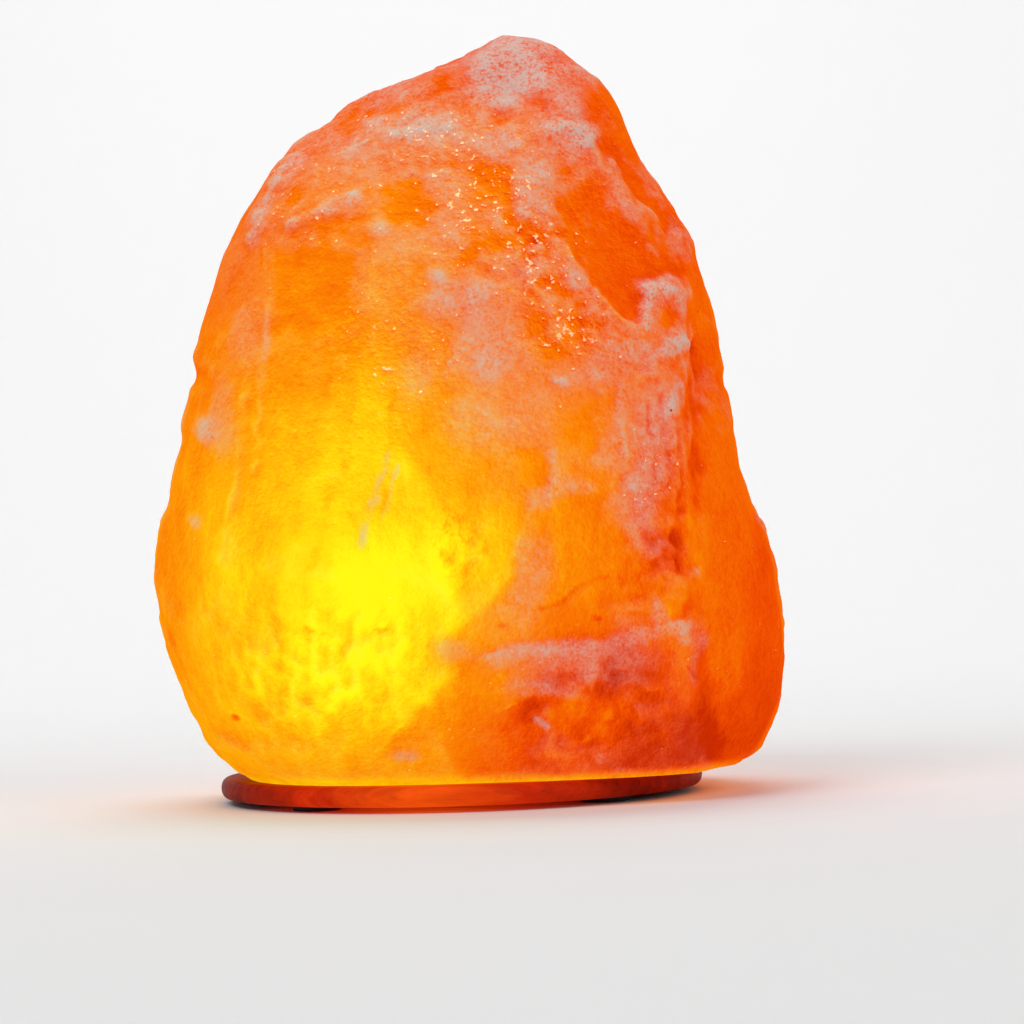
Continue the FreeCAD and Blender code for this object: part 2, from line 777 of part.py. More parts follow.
# ---------------------------------------------------------------- build every node
def main():
    os.makedirs("parts", exist_ok=True)
    write("salt_crystal", salt_crystal())
    write("wood_base", wood_base())
    feet = ring_places(foot_circle_diameter, foot_count, foot_first_angle)
    for number, (x, y) in enumerate(feet, start=1):
        write(f"rubber_foot_{number}", rubber_foot(x, y))
    screws = ring_places(screw_circle_diameter, screw_count, screw_first_angle)
    write("base_screws", *[wood_screw(x, y) for x, y in screws])
    write("screw_plugs", *[screw_plug(x, y) for x, y in screws])

    write("cord_nipple", cord_nipple())
    write("clip_nut", clip_nut())
    write("spring_clip", spring_clip())
    write("holder_cap", holder_cap())
    write("holder_skirt", holder_skirt())
    write("holder_core", holder_core())
    write("threaded_shell", threaded_shell())
    write("centre_contact", centre_contact())
    write("terminal_blocks", terminal_block(-1), terminal_block(1))
    write("terminal_screws", terminal_screw(-1), terminal_screw(1))

    write("bulb_contact", bulb_contact())
    write("cap_insulator", cap_insulator())
    write("lamp_cap", lamp_cap())
    write("cap_cement", cap_cement())
    write("bulb_glass", bulb_glass())
    write("glass_stem", glass_stem())
    write("lead_wires", lead_wire(-1), lead_wire(1))
    write("support_wire", support_wire())
    write("filament", filament_half(-1).fuse(filament_half(1)))


main()
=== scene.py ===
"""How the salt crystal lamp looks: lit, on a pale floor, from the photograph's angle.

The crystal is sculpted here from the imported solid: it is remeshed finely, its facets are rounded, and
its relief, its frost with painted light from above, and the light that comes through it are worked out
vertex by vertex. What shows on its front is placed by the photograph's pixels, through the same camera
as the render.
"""

import json
import math

import bmesh
import bpy
import numpy as np
from mathutils import Euler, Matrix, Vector


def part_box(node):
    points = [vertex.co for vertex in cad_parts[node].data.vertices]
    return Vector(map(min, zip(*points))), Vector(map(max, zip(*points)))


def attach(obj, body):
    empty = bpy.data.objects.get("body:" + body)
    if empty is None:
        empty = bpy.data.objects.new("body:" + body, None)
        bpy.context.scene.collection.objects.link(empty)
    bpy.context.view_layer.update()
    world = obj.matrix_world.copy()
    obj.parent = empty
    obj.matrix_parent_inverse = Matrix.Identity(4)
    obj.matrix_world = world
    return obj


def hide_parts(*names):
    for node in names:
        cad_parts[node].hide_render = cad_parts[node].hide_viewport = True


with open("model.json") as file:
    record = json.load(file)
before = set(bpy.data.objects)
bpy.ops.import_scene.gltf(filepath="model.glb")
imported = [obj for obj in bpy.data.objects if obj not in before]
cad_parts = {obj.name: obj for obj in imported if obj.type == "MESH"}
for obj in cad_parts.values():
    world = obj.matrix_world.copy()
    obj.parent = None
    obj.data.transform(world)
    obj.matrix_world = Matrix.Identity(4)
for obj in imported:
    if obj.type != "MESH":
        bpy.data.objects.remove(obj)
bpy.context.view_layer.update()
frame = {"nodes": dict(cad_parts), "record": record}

MM = 0.001
SCENE = bpy.context.scene

# ---------------------------------------------------------------- the photograph's camera
PHOTO_SIZE = 1024
CAMERA_DISTANCE = 1.0
PIXELS_PER_METRE = 4000.0  # at the lamp's axis
CAMERA_ROLL = math.radians(1.8)
CAMERA_AIM = (11.4 * MM, 70.4 * MM)  # across and up, where the view's middle meets the lamp's axis
SENSOR = 36.0


def photo_pixels(points):
    """Where points (n, 3) fall in the photograph, as (n, 2) pixels."""
    depth = points[:, 1] + CAMERA_DISTANCE
    focal = PIXELS_PER_METRE * CAMERA_DISTANCE
    across = (points[:, 0] - CAMERA_AIM[0]) * focal / depth
    up = (points[:, 2] - CAMERA_AIM[1]) * focal / depth
    c, s = math.cos(CAMERA_ROLL), math.sin(CAMERA_ROLL)
    half = PHOTO_SIZE / 2
    return np.stack([half + across * c - up * s, half - across * s - up * c], axis=1)


def add_camera():
    """The camera at the photograph's height, distance and slight roll."""
    data = bpy.data.cameras.new("camera")
    data.sensor_width = SENSOR
    data.lens = PIXELS_PER_METRE * CAMERA_DISTANCE * SENSOR / PHOTO_SIZE
    camera = new_object("camera", data)
    camera.location = (CAMERA_AIM[0], -CAMERA_DISTANCE, CAMERA_AIM[1])
    camera.rotation_euler = (math.pi / 2, CAMERA_ROLL, 0)
    SCENE.camera = camera


# ---------------------------------------------------------------- numbers that look natural
TILT = np.array(Euler((0.6, 0.5, 0.4)).to_matrix())  # turns the noise's lattice away from the lamp's axes


def smooth_step(low, high, value):
    """0 below low, 1 above high, and smooth between."""
    t = np.clip((value - low) / (high - low), 0.0, 1.0)
    return t * t * (3 - 2 * t)


def lattice(corners, seed):
    """A repeatable value from 0 to 1 for each whole-numbered corner (n, 3)."""
    x, y, z = (corners[:, i].astype(np.int64) for i in range(3))
    h = (x * 374761393 + y * 668265263 + z * 1440662683 + seed * 974634777) & 0xFFFFFFFF
    h = ((h ^ (h >> 13)) * 1274126177) & 0xFFFFFFFF
    h = ((h ^ (h >> 15)) * 2246822519) & 0xFFFFFFFF
    return ((h ^ (h >> 16)) & 0xFFFFFF) / float(0xFFFFFF)


def three(maker, first_seed):
    """Three runs of values side by side, from maker(seed) with three seeds in a row."""
    return np.stack([maker(first_seed + i) for i in range(3)], axis=1)


def noise(points, size, seed):
    """Smooth noise from -1 to 1 whose bumps are about that size."""
    p = points @ TILT / size
    cell = np.floor(p)
    f = p - cell
    u = f * f * f * (f * (f * 6 - 15) + 10)
    total = np.zeros(len(p))
    for corner in range(8):
        step = np.array([corner & 1, corner >> 1 & 1, corner >> 2 & 1])
        weight = np.prod(np.where(step, u, 1 - u), axis=1)
        total += weight * lattice(cell + step, seed)
    return total * 2 - 1


def rough_noise(points, size, seed, octaves=4, fade=0.5):
    """Several layers of noise, each half the size of the last."""
    total, amount = np.zeros(len(points)), 0.0
    for i in range(octaves):
        total += noise(points, size / 2**i, seed + i) * fade**i
        amount += fade**i
    return total / amount


def neighbours(points, size):
    """The points in cells of that size, with each cell and the 26 round it in turn."""
    p = points / size
    cell = np.floor(p)
    for i in range(27):
        yield p, cell + np.array([i % 3 - 1, i // 3 % 3 - 1, i // 9 - 1])


def cells(points, size, seed):
    """Distances (n,) to the nearest and to the second nearest of scattered centres, in cells."""
    first, second = np.full((2, len(points)), 9.0)
    for p, here in neighbours(points, size):
        away = np.linalg.norm(here + three(lambda k: lattice(here, k), seed + 11) - p, axis=1)
        second = np.where(away < first, first, np.minimum(second, away))
        first = np.minimum(first, away)
    return first, second


def facets(points, size, seed, crispness):
    """Relief like worn facets: each scattered cell is a plane that leans its own way, with soft edges."""
    total, height = np.zeros((2, len(points)))
    for p, here in neighbours(points, size):
        rel = p - here - three(lambda k: lattice(here, k), seed + 1)
        lean = three(lambda k: lattice(here, k), seed + 4) * 2 - 1
        weight = np.exp(-crispness * np.einsum("ij,ij->i", rel, rel))
        height += weight * np.einsum("ij,ij->i", rel, lean)
        total += weight
    return height / total


def from_line(pixels, line):
    """How far each pixel is from a line (x, y, x, y...): over 0 on the left of who walks along it."""
    best, side = np.full(len(pixels), 1e9), np.ones(len(pixels))
    points = np.reshape(line, (-1, 2)).astype(float)
    for start, end in zip(points, points[1:]):
        run, rel = end - start, pixels - start
        along = np.clip(rel @ run / (run @ run), 0, 1)
        away = np.linalg.norm(rel - along[:, None] * run, axis=1)
        nearer = away < best
        best = np.where(nearer, away, best)
        side = np.where(nearer, np.sign(run[1] * rel[:, 0] - run[0] * rel[:, 1]), side)
    return best * side


def from_face(pixels, corners):
    """How far each pixel is from the edge of a face: over 0 inside it, under 0 outside."""
    corners = (*corners, *corners[:2])
    ring = np.reshape(corners, (-1, 2))
    inside = np.zeros(len(pixels), bool)
    for (ax, ay), (bx, by) in zip(ring, ring[1:]):
        spans = (ay > pixels[:, 1]) != (by > pixels[:, 1])
        with np.errstate(divide="ignore", invalid="ignore"):
            cut = (bx - ax) * (pixels[:, 1] - ay) / (by - ay) + ax
        inside ^= spans & (pixels[:, 0] < cut)
    return np.where(inside, 1, -1) * np.abs(from_line(pixels, corners))


def in_patch(pixels, x, y, half_x, half_y, degrees=0.0):
    """A soft round weight, 1 in the patch's middle and 0.37 at its rim."""
    across, down = (pixels - np.array([x, y], float)).T
    c, s = math.cos(math.radians(degrees)), math.sin(math.radians(degrees))
    u, v = (across * c + down * s) / half_x, (down * c - across * s) / half_y
    return np.exp(-(u * u + v * v) ** 1.5)


# ---------------------------------------------------------------- what shows on the crystal's front
# Features placed one by one. Their places and sizes are pixels of the photograph. The last three numbers of
# a row are the relief, the frost and the light that it adds, in hundredths: of a millimetre, of full frost
# and of full light.

# Ridges and creases: the points of the line (x, y, x, y...) and its half-width.
LINES = (
    ((591, 142, 605, 162, 630, 190, 656, 222, 690, 246), 6, 80, 14, 5),
    ((545, 131, 566, 122, 590, 138), 10, 120, 85, 0),  # the bright bump at its upper end
    ((564, 247, 589, 282, 614, 314, 632, 328), 4, 70, 10, 6),  # under the scooped face
    ((648, 292, 662, 285, 680, 296, 686, 340), 9, 100, 85, 0),  # the knob
    ((645, 290, 646, 326), 6, 60, 60, 0), ((680, 350, 684, 376, 668, 420), 8, 70, 45, 0),
    ((660, 395, 664, 440, 668, 486), 2.5, -30, -10, -7),
    ((646, 402, 650, 450, 652, 498), 2.5, -30, -10, -5),
    ((676, 420, 681, 462, 680, 500), 3, -40, -10, -8),
    ((617, 392, 618, 430, 624, 470, 640, 505), 4, 50, 36, 0),
    ((694, 345, 697, 420, 694, 508), 8, -80, -40, -11),  # the crease beside the right-hand lobe
    ((684, 510, 677, 536, 679, 572), 5, -120, -30, -22),
    ((694, 600, 702, 660, 716, 757), 9, -60, -20, -8), ((692, 515, 696, 560), 8, -30, -30, 10),
    ((692, 570, 704, 600, 702, 640), 7, 60, 50, 0), ((657, 598, 662, 622, 684, 640), 6, 60, 85, 0),
    ((542, 607, 558, 600, 579, 586, 611, 577), 2.2, -40, 0, -8),  # a fine crack
    ((550, 455, 556, 487, 590, 488), 6, 20, 26, 0), ((556, 487, 530, 519, 516, 554), 9, 20, 16, 0),
    ((341, 467, 326, 510, 301, 609), 5, -20, 5, -5),  # two slanting streaks
    ((388, 455, 374, 500, 358, 548), 4, 20, 50, -7), ((398, 462, 390, 496, 380, 524), 3, 20, 45, -5),
    ((392, 400, 376, 545), 3, -20, 0, -5), ((247, 400, 234, 488, 223, 561), 5, 50, 14, 0),
    ((270, 300, 262, 380, 256, 470), 5, 50, 14, 0), ((292, 224, 330, 212, 358, 198), 7, 80, 60, 0),
    ((297, 158, 272, 193, 252, 238), 10, 50, 62, 0),
    ((462, 72, 420, 96, 345, 128), 12, -40, -42, -2),  # the dark band under the left slope
    ((518, 228, 532, 237, 548, 247), 3.0, -70, -30, -15), ((425, 236, 460, 240), 6, 40, 32, 0),
    ((247, 772, 320, 781, 430, 789), 3, 20, 4, 2),  # the bright lower edge
    ((598, 756, 612, 764, 630, 776), 5, 30, 34, 0), ((196, 352, 214, 372), 8, 60, 15, 0),
    ((378, 628, 386, 629, 399, 634), 2.6, -60, 0, -26),  # chips out of the bright face
    ((324, 634, 335, 637), 2.2, -40, 0, -22), ((304, 629, 314, 631), 2.0, -40, 0, -18),
    ((348, 512, 352, 517), 2.0, -30, 0, -15), ((558, 742, 575, 747, 592, 741), 4.5, -40, 10, -10),
    ((536, 722, 545, 727), 3.5, 60, 45, -10), ((591, 616, 598, 618), 2.4, -50, -10, -30),
    ((691, 668, 697, 676), 2.4, -50, -10, -34), ((500, 624, 505, 626), 1.8, -30, 0, -20),
    ((233, 717, 236, 720), 2.2, -30, 0, -30),
)

# Faces: the corners and how soft the edge is.
FACES = (
    ((559, 204, 589, 185, 630, 227, 660, 250, 683, 272, 642, 284, 642, 314, 621, 318, 589, 284, 568,
      259), 13, -120, -48, -3),
    ((596, 140, 616, 146, 642, 186, 706, 252, 664, 236, 634, 196, 606, 162), 10, -80, -25, -4),
    ((550, 700, 580, 706, 620, 700, 640, 722, 612, 742, 580, 744, 556, 730), 9, -90, -40, 8),
    ((556, 396, 612, 392, 610, 446, 562, 450), 13, -20, -30, 0),
    ((670, 603, 690, 601, 688, 616, 672, 618), 4, -100, -60, 8),
    ((640, 528, 676, 532, 674, 573, 648, 572), 8, -60, 5, -10),
    ((556, 500, 600, 496, 598, 544, 560, 548), 9, -40, -20, 2),
    ((520, 452, 547, 452, 545, 486, 522, 488), 8, -30, -20, 2),
    ((280, 258, 320, 244, 348, 262, 356, 318, 310, 334, 276, 306), 14, -50, -36, 0),
    ((388, 192, 420, 180, 437, 204, 422, 230, 390, 224), 13, -50, -48, -4),
    ((472, 172, 508, 162, 520, 208, 562, 230, 548, 254, 500, 248, 464, 258), 12, -50, -38, -2),
    ((528, 290, 566, 284, 604, 330, 600, 352, 560, 368, 520, 340), 13, -40, -26, 0),
)

# Shades: the points of an edge and how far from it they fade. Each starts at its edge and lies on the left
# of somebody who walks along it, seen in the picture.
SHADES = (
    ((652, 628, 622, 636, 590, 642, 560, 645, 528, 645, 500, 650), 19, 60, 34, -3),
    ((640, 692, 590, 690, 548, 696, 520, 706), 22, -40, 5, -9),
    ((514, 556, 498, 590, 482, 612, 444, 640, 446, 680, 404, 722), 34, -20, 0, -9),
    ((404, 722, 446, 680, 444, 640, 482, 612, 498, 590), 22, 20, 0, 4),
    ((632, 330, 614, 314, 589, 282, 564, 247), 20, 20, 14, 0), ((694, 508, 694, 345), 22, 30, 2, 0),
    ((690, 520, 696, 600, 716, 757), 20, 40, -20, 4), ((410, 470, 420, 380), 22, 20, 0, 3),
    ((270, 620, 288, 560, 318, 470, 330, 400), 30, -20, 0, -5),
    ((620, 380, 612, 440, 604, 500), 24, 20, 10, 0), ((356, 150, 430, 140, 500, 150), 24, 20, 14, 0),
    ((367, 285, 364, 340, 356, 400), 60, 20, 0, 6), ((261, 272, 263, 340, 260, 400), 50, 20, 0, 3),
    ((520, 250, 470, 290, 452, 350), 26, 20, 22, 0),
)
SHADE_EDGE = 9  # how soft a shade's edge is

# Patches: the middle x and y, the half-sizes across and up, and the turn in degrees.
PATCHES = (
    (504, 78, 40, 30, -20, 30, 115, 0),  # the frosted peak
    (529, 64, 10, 20, -25, 30, 50, 0), (501, 115, 13, 11, 0, -80, -45, -2),  # the round pit
    (424, 127, 38, 15, -10, 30, 75, 0), (374, 122, 14, 8, -25, 30, 60, 0),
    (535, 186, 20, 28, 5, 50, 62, 0), (566, 150, 24, 22, 20, 20, 36, 0),
    (284, 230, 34, 18, 20, 20, 30, 0), (222, 420, 18, 46, 0, 10, 42, 0), (254, 350, 28, 50, 0, 10, 22, 0),
    (606, 362, 22, 24, 0, 10, 20, 0), (655, 222, 14, 56, -38, 0, -14, 0),
    (686, 250, 16, 22, 0, 20, 14, 0), (704, 310, 20, 64, -8, 0, -55, 0),
    (612, 112, 26, 52, -35, 0, -40, 2), (556, 205, 16, 26, 0, 20, 12, 0), (240, 300, 30, 60, 0, 0, 16, 0),
    (577, 277, 10, 16, -20, 20, 40, 0), (670, 348, 10, 9, 0, 50, 70, 0), (640, 356, 22, 16, 0, 30, 42, 0),
    (652, 304, 12, 16, 0, 30, 32, 0), (612, 284, 24, 32, -38, 0, -15, -2),
    (338, 209, 26, 12, -20, 20, 34, 0), (632, 510, 22, 26, 0, 10, 34, 0),
    (546, 246, 28, 22, 0, -20, -34, -2), (632, 210, 13, 26, -35, 0, -24, -3),
    (678, 280, 11, 16, 0, 0, -40, -3), (582, 340, 24, 26, 0, 20, 14, 4),
    (426, 160, 36, 18, 0, 10, 24, -1), (342, 140, 22, 13, -25, 10, 26, 0),
    (555, 494, 34, 18, 0, 10, 34, 0), (606, 446, 15, 26, 0, 10, 30, 0), (640, 474, 24, 24, 0, 10, 18, 3),
    (575, 764, 80, 12, -3, 0, -10, -7), (612, 708, 62, 24, 0, 0, 0, 5),
    (388, 112, 22, 10, -20, 0, -30, 0), (438, 90, 20, 10, -25, 0, 18, 0),
    (630, 642, 26, 15, 0, 0, -12, -8), (702, 376, 10, 36, 0, 0, 22, -3), (702, 666, 12, 26, 0, 0, 40, -6),
    (474, 424, 34, 26, 0, 0, 26, 4), (534, 688, 26, 14, 0, 0, 32, 2), (650, 542, 26, 18, 0, 0, 24, 0),
    (532, 570, 24, 42, 15, 0, 42, 0), (438, 304, 22, 24, 0, 10, 22, 0), (414, 376, 24, 32, 0, 10, 24, -2),
    (712, 742, 14, 18, 10, -90, 0, -9), (667, 318, 7, 8, 0, -80, -55, 6), (684, 627, 11, 9, 0, 40, 60, 0),
    (745, 600, 34, 130, 3, 30, -50, 0),  # the smooth right-hand lobe
    (208, 428, 13, 13, 0, 30, 62, 0), (196, 522, 7, 8, 0, 20, 42, 0), (383, 230, 11, 8, 0, 40, 45, 0),
    (436, 276, 11, 9, 0, 40, 45, 0), (461, 290, 24, 20, 0, 30, 36, 0), (490, 366, 18, 18, 0, 30, 52, 0),
    (557, 383, 7, 6, 0, 30, 50, 0),
    (654, 455, 28, 74, 8, 60, 34, -5),  # the soft pale strip beside the lobe
    (632, 622, 26, 20, 0, 20, 30, 0), (575, 656, 84, 22, -4, 0, 28, -8),
    (640, 668, 36, 20, -6, 0, 20, -12), (702, 636, 12, 24, 0, 20, 35, -5),
    (510, 764, 50, 14, -3, 0, 0, -8), (654, 758, 42, 16, -5, 0, -10, -10),
    (580, 682, 66, 12, -3, -20, 10, -8), (508, 618, 44, 28, 0, 0, 28, 2),
    (452, 652, 24, 14, 10, 20, 30, -8), (405, 753, 15, 8, 0, 20, 40, -8),
    (362, 520, 14, 26, 20, 10, 14, -5), (545, 405, 110, 95, 10, 0, 30, 0),
    (380, 300, 40, 50, 0, 0, 16, 0), (480, 320, 70, 50, 0, 0, 18, 0), (300, 210, 60, 50, 25, 0, -14, -3),
    (600, 775, 90, 14, -3, 0, 12, -5),
)
# Patches of light alone, from the lamp inside.
BLOTCHES = (
    (400, 585, 75, 66, 0, 0, 0, 24), (483, 545, 40, 46, 0, 0, 0, 17), (350, 430, 60, 70, 10, 0, 0, 8),
    (406, 472, 42, 38, 30, 0, 0, 8), (362, 682, 92, 40, 5, 0, 0, 18), (300, 640, 50, 36, 0, 0, 0, 8),
    (350, 745, 80, 22, 0, 0, 0, 5), (595, 470, 60, 50, 0, 0, 0, 3), (294, 448, 40, 44, 0, 0, 0, 5),
    (498, 630, 38, 26, 0, 0, 0, 6), (300, 560, 56, 50, 0, 0, 0, -6), (250, 500, 30, 60, 0, 0, 0, -5),
    (280, 708, 80, 40, 0, 0, 0, 6), (640, 740, 150, 62, 0, 0, 0, -21), (480, 735, 40, 40, 0, 0, 0, -9),
    (560, 650, 90, 56, 0, 0, 0, -12), (430, 175, 150, 95, 0, 0, 0, 13), (380, 300, 60, 60, 0, 0, 0, 6),
    (300, 230, 60, 60, 0, 0, 0, 3), (770, 640, 30, 120, 0, 0, 0, -8), (738, 600, 36, 90, 0, 0, 0, -5),
    (655, 500, 40, 100, 0, 0, 0, -9), (700, 740, 30, 30, 0, 0, 0, -12), (176, 570, 26, 90, 0, 0, 0, -10),
)

# Dents and bumps in the outline: the place x and y, the reach, and the relief.
RIM_DENTS = (
    (201, 378, 11, -150), (193, 354, 9, 80), (186, 420, 16, 70), (327, 126, 13, -100), (292, 142, 16, 70),
    (722, 381, 10, -80), (735, 410, 14, 60), (164, 500, 12, -50), (152, 572, 20, 60), (158, 622, 12, -50),
    (600, 86, 14, 50), (645, 205, 14, -60), (690, 235, 14, 60),
)

# Patches of one kind: the middle x and y, the half-sizes and how strong they are, 1 at the most.
SPARKLE_PATCHES = (
    (480, 190, 95, 75, 0.75), (530, 255, 50, 55, 1.0), (565, 325, 45, 40, 1.0), (430, 135, 90, 45, 0.7),
    (400, 340, 70, 90, 0.55), (650, 470, 30, 50, 0.6), (300, 200, 60, 60, 0.5),
)
CHIPS = (  # where the surface is chipped
    (535, 250, 55, 60, 1.0), (570, 320, 50, 40, 0.8), (650, 560, 45, 70, 0.9), (590, 720, 80, 45, 0.8),
    (440, 150, 120, 50, 0.5), (640, 400, 50, 110, 0.6), (300, 200, 70, 60, 0.5),
)
CALM = ((370, 450, 120, 110, 0.8), (745, 600, 40, 140, 0.6))  # where it is nearly smooth
DULL = (600, 722, 130, 62)  # the dull, broken surface low on the right
CRACKLE = (455, 548, 30, 36)  # the crackled bright patch
DIMPLES = (330, 665, 100, 72)  # the dimpled patch low on the left
# The cells in them: size in millimetres, stretch, seed; bowl, groove round it, the groove's sharpness;
# light towards the border, the level that it starts at, the border's darkness and its sharpness.
CRACKLE_CELLS = ((3.4, (1, 1, 1), 41, 0, 0.45, 7, 0.44, 0.45, 0.20, 9),)
DIMPLE_CELLS = (
    (9.0, (1.5, 1.5, 0.85), 51, 1.1, 0, 1, 0.18, 0.5, 0.08, 12),
    (3.4, (1.3, 1.3, 0.8), 55, 0.7, 0, 1, 0.24, 0.45, 0.12, 10),
)
BACK_DIMPLES = 0.4  # how strong the dimples are on the hidden sides, against the patch

CLEAR_RANGE, CLEAR_SLANT = (160, 510), 0.45  # the front turns clear downwards, over a line that slants
STREAK_SHEAR = np.array(((1, 0, 0), (0, 1, 0), (0.22, 0, 0.16)))  # draws noise out into slanting streaks
GLOW_MIDDLE = np.array((-30.0, -40.0, 54.0)) * MM  # the light falls off with the distance from here
GLOW_FLOOR, GLOW_RISE, GLOW_FADE = 0.17, 1.10, 45.0 * MM
LAMP_MIDDLE, BACK_GLOW = np.array((-3.0, 8.0, 58.0)) * MM, 0.75  # the light that reaches the back
GLOW_ON_BASE = np.array((-14.0, -58.0, 6.0)) * MM  # the brightest place of the base's rim
GLOW_ON_BASE_FADE = 54.0 * MM


# ---------------------------------------------------------------- mesh helpers
def new_object(name, data):
    obj = bpy.data.objects.new(name, data)
    SCENE.collection.objects.link(obj)
    return obj


def new_mesh(name, vertices, faces):
    mesh = bpy.data.meshes.new(name)
    mesh.from_pydata(vertices, [], faces)
    return mesh


def evaluated_mesh(obj):
    """A new mesh of what the object's modifiers or curve settings make of it."""
    bpy.context.view_layer.update()
    return bpy.data.meshes.new_from_object(obj.evaluated_get(bpy.context.evaluated_depsgraph_get()))


def apply_modifiers(obj):
    mesh = evaluated_mesh(obj)
    obj.modifiers.clear()
    obj.data = mesh


def vectors(items, name):
    """One vector of each of a mesh's vertices, as an array (n, 3)."""
    values = np.empty(len(items) * 3)
    items.foreach_get(name, values)
    return values.reshape(-1, 3)


def edge_ends(mesh):
    ends = np.empty(len(mesh.edges) * 2, np.int64)
    mesh.edges.foreach_get("vertices", ends)
    return ends.reshape(-1, 2)


def set_vertices(mesh, co):
    mesh.vertices.foreach_set("co", co.astype(np.float32).ravel())
    mesh.update()


def averaged(values, ends, rounds):
    """Values at the vertices, each replaced by its neighbours' average that many times."""
    count = len(values)
    joins = np.bincount(ends.ravel(), minlength=count)
    for _ in range(rounds):
        total = np.zeros_like(values)
        for i in range(values.shape[1]):
            total[:, i] = np.bincount(ends[:, 0], values[ends[:, 1], i], count)
            total[:, i] += np.bincount(ends[:, 1], values[ends[:, 0], i], count)
        values = total / joins[:, None]
    return values


def smooth_normals(mesh, ends, rounds):
    normals = averaged(vectors(mesh.vertices, "normal"), ends, rounds)
    return normals / np.linalg.norm(normals, axis=1)[:, None]


def dot(first, second):
    return np.einsum("ij,ij->i", first, second)


def shade_smooth(mesh):
    mesh.polygons.foreach_set("use_smooth", [True] * len(mesh.polygons))


# ---------------------------------------------------------------- the crystal
VOXEL = 0.75 * MM
SOFTENING, NORMAL_ROUNDS = 16, 6  # rounds that take the cut edges off the facets, and off their normals
FINE_ROUNDS, BROAD_ROUNDS = 8, 70  # how far round a vertex its standing proud is measured
HOLE_CLEAR = 5.0 * MM  # the relief fades out this far round the drilled hole
HOLE_FROM, HOLE_SHARE = 20.0 * MM, 0.7  # its wall is looked for from here up to this share of the height
HOLE_TOP = 6.0 * MM  # how far its top is over its wall
BOTTOM_FADE = (0.2 * MM, 3.0 * MM)  # the relief sets in over the sawn bottom
FRONT_FADE, RIM_FADE = (0.02, 0.30), (0.5, 0.95)  # how far a normal turns from the side to the front
RELIEF_SUNK = 0.1  # millimetres that the whole relief lies lower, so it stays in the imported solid's box
RELIEF, FROST, LIGHT = range(3)  # the rows of a sculpture's marks
# The outside's own relief. Noise: millimetres high, millimetres across, seed, octaves.
SWELLS, ROUGHNESS = (0.7, 34, 1, 2), (0.36, 10, 5, 3)
GRAIN, CHIPPED_GRAIN = (0.07, 2.4, 15, 2), (0.10, 2.4, 15, 2)
# Worn facets: millimetres high, millimetres across, seed, crispness.
BROAD_FACETS, SMALL_FACETS, CHIP_FACETS = (1.5, 25, 110, 12.0), (0.9, 10, 120, 14.0), (0.8, 4.2, 130, 12.0)
UNCHIPPED = 0.2  # what is left of the small facets where nothing is chipped
# What is chipped on the hidden sides: noise, the range of it that chips, and how strongly.
CHIPPED, CHIPPED_RANGE, HIDDEN_CHIPS = (1.0, 40, 35), (-0.1, 0.4), 0.5
BROKEN, BROKEN_BASE, BROKEN_SWING = (1.6, 4, 37), 0.65, 0.45  # noise that breaks up the lines
WAVER = ((3.0, 7.0, 31), (2.0, 2.4, 33))  # the marks' outlines: pixels, millimetres across, first seed
BEND = (3.0, 12.0, 36)  # the facets' outlines: millimetres, millimetres across, first seed
# Noise in the frost and in the light: amount, millimetres across, seed, octaves, and how they fade.
MOTTLE, BACK_FROST, GLOW_CLOUDS = (0.33, 11, 61, 4, 0.72), (0.55, 38, 66, 3), (0.04, 20, 71, 3)
STREAKS, DULL_BLOTCHES = (0.06, 5, 75, 3), (1.0, 7, 58, 3, 0.7)
MOTTLE_BASE, BACK_BASE = 0.07, -0.06
STREAKED_RANGE = (0.3, 0.6)  # streaks show where there is this much light
DULL_WHITE, BLOTCH_WHITE, DULL_DARK, BLOTCH_DARK = 0.10, 0.36, 0.02, 0.22
# The clear salt low on the front: less frost on all of it, and most of it gone where none is marked.
CLEAR_LOSS, CLEAR_SHARE, MARKED_RANGE = 0.05, 0.8, (0.10, 0.40)
# How much each thing whitens the salt: what is marked, what stands proud of what is near and of what is
# further round it, what faces up, and what leans up more than the rock round it.
# Whitening what faces up and what leans up is painted light from above: it shades the relief in the salt's
# colour.
WHITE_MARKED, WHITE_NEAR, WHITE_FAR, WHITE_UP, WHITE_LEAN = 0.55, 0.5, 0.12, 0.26, 0.30
# How much light the same things add, and what leans towards the glow.
LIGHT_NEAR, LIGHT_FAR, LIGHT_LEAN, LIGHT_TOWARDS = 0.16, 0.03, -0.05, 0.9


class Sculpture:
    """The crystal's vertices: their places, their spots in the photograph and what is marked on each."""

    def __init__(self, mesh):
        self.ends = edge_ends(mesh)
        co = vectors(mesh.vertices, "co")
        self.share = outer_share(co)
        soft = averaged(co, self.ends, SOFTENING)
        self.co = co = co + (soft - co) * self.share[:, None]
        set_vertices(mesh, co)
        self.normals = smooth_normals(mesh, self.ends, NORMAL_ROUNDS)
        self.front = smooth_step(*FRONT_FADE, -self.normals[:, 1]) * self.share
        self.spots = photo_pixels(co)
        self.pixels = self.spots.copy()
        for far, size, seed in WAVER:
            self.pixels += far * np.stack([noise(co, size * MM, seed + i) for i in range(2)], axis=1)
        far, size, first_seed = BEND
        self.bent = co + three(lambda seed: noise(co, size * MM, seed), first_seed) * far * MM
        hidden = smooth_step(*CHIPPED_RANGE, layer(noise, co, *CHIPPED)) * HIDDEN_CHIPS * (1 - self.front)
        self.chips = np.maximum(self.over(CHIPS), hidden)
        self.marks = np.zeros((3, len(co)))

    def on_front(self, *patch):
        return in_patch(self.pixels, *patch) * self.front

    def over(self, patches):
        """The strongest of some patches of the front."""
        return np.max([amount * self.on_front(*patch) for *patch, amount in patches], axis=0)

    def mark(self, weight, hundredths):
        self.marks += weight * np.array(hundredths)[:, None] / 100


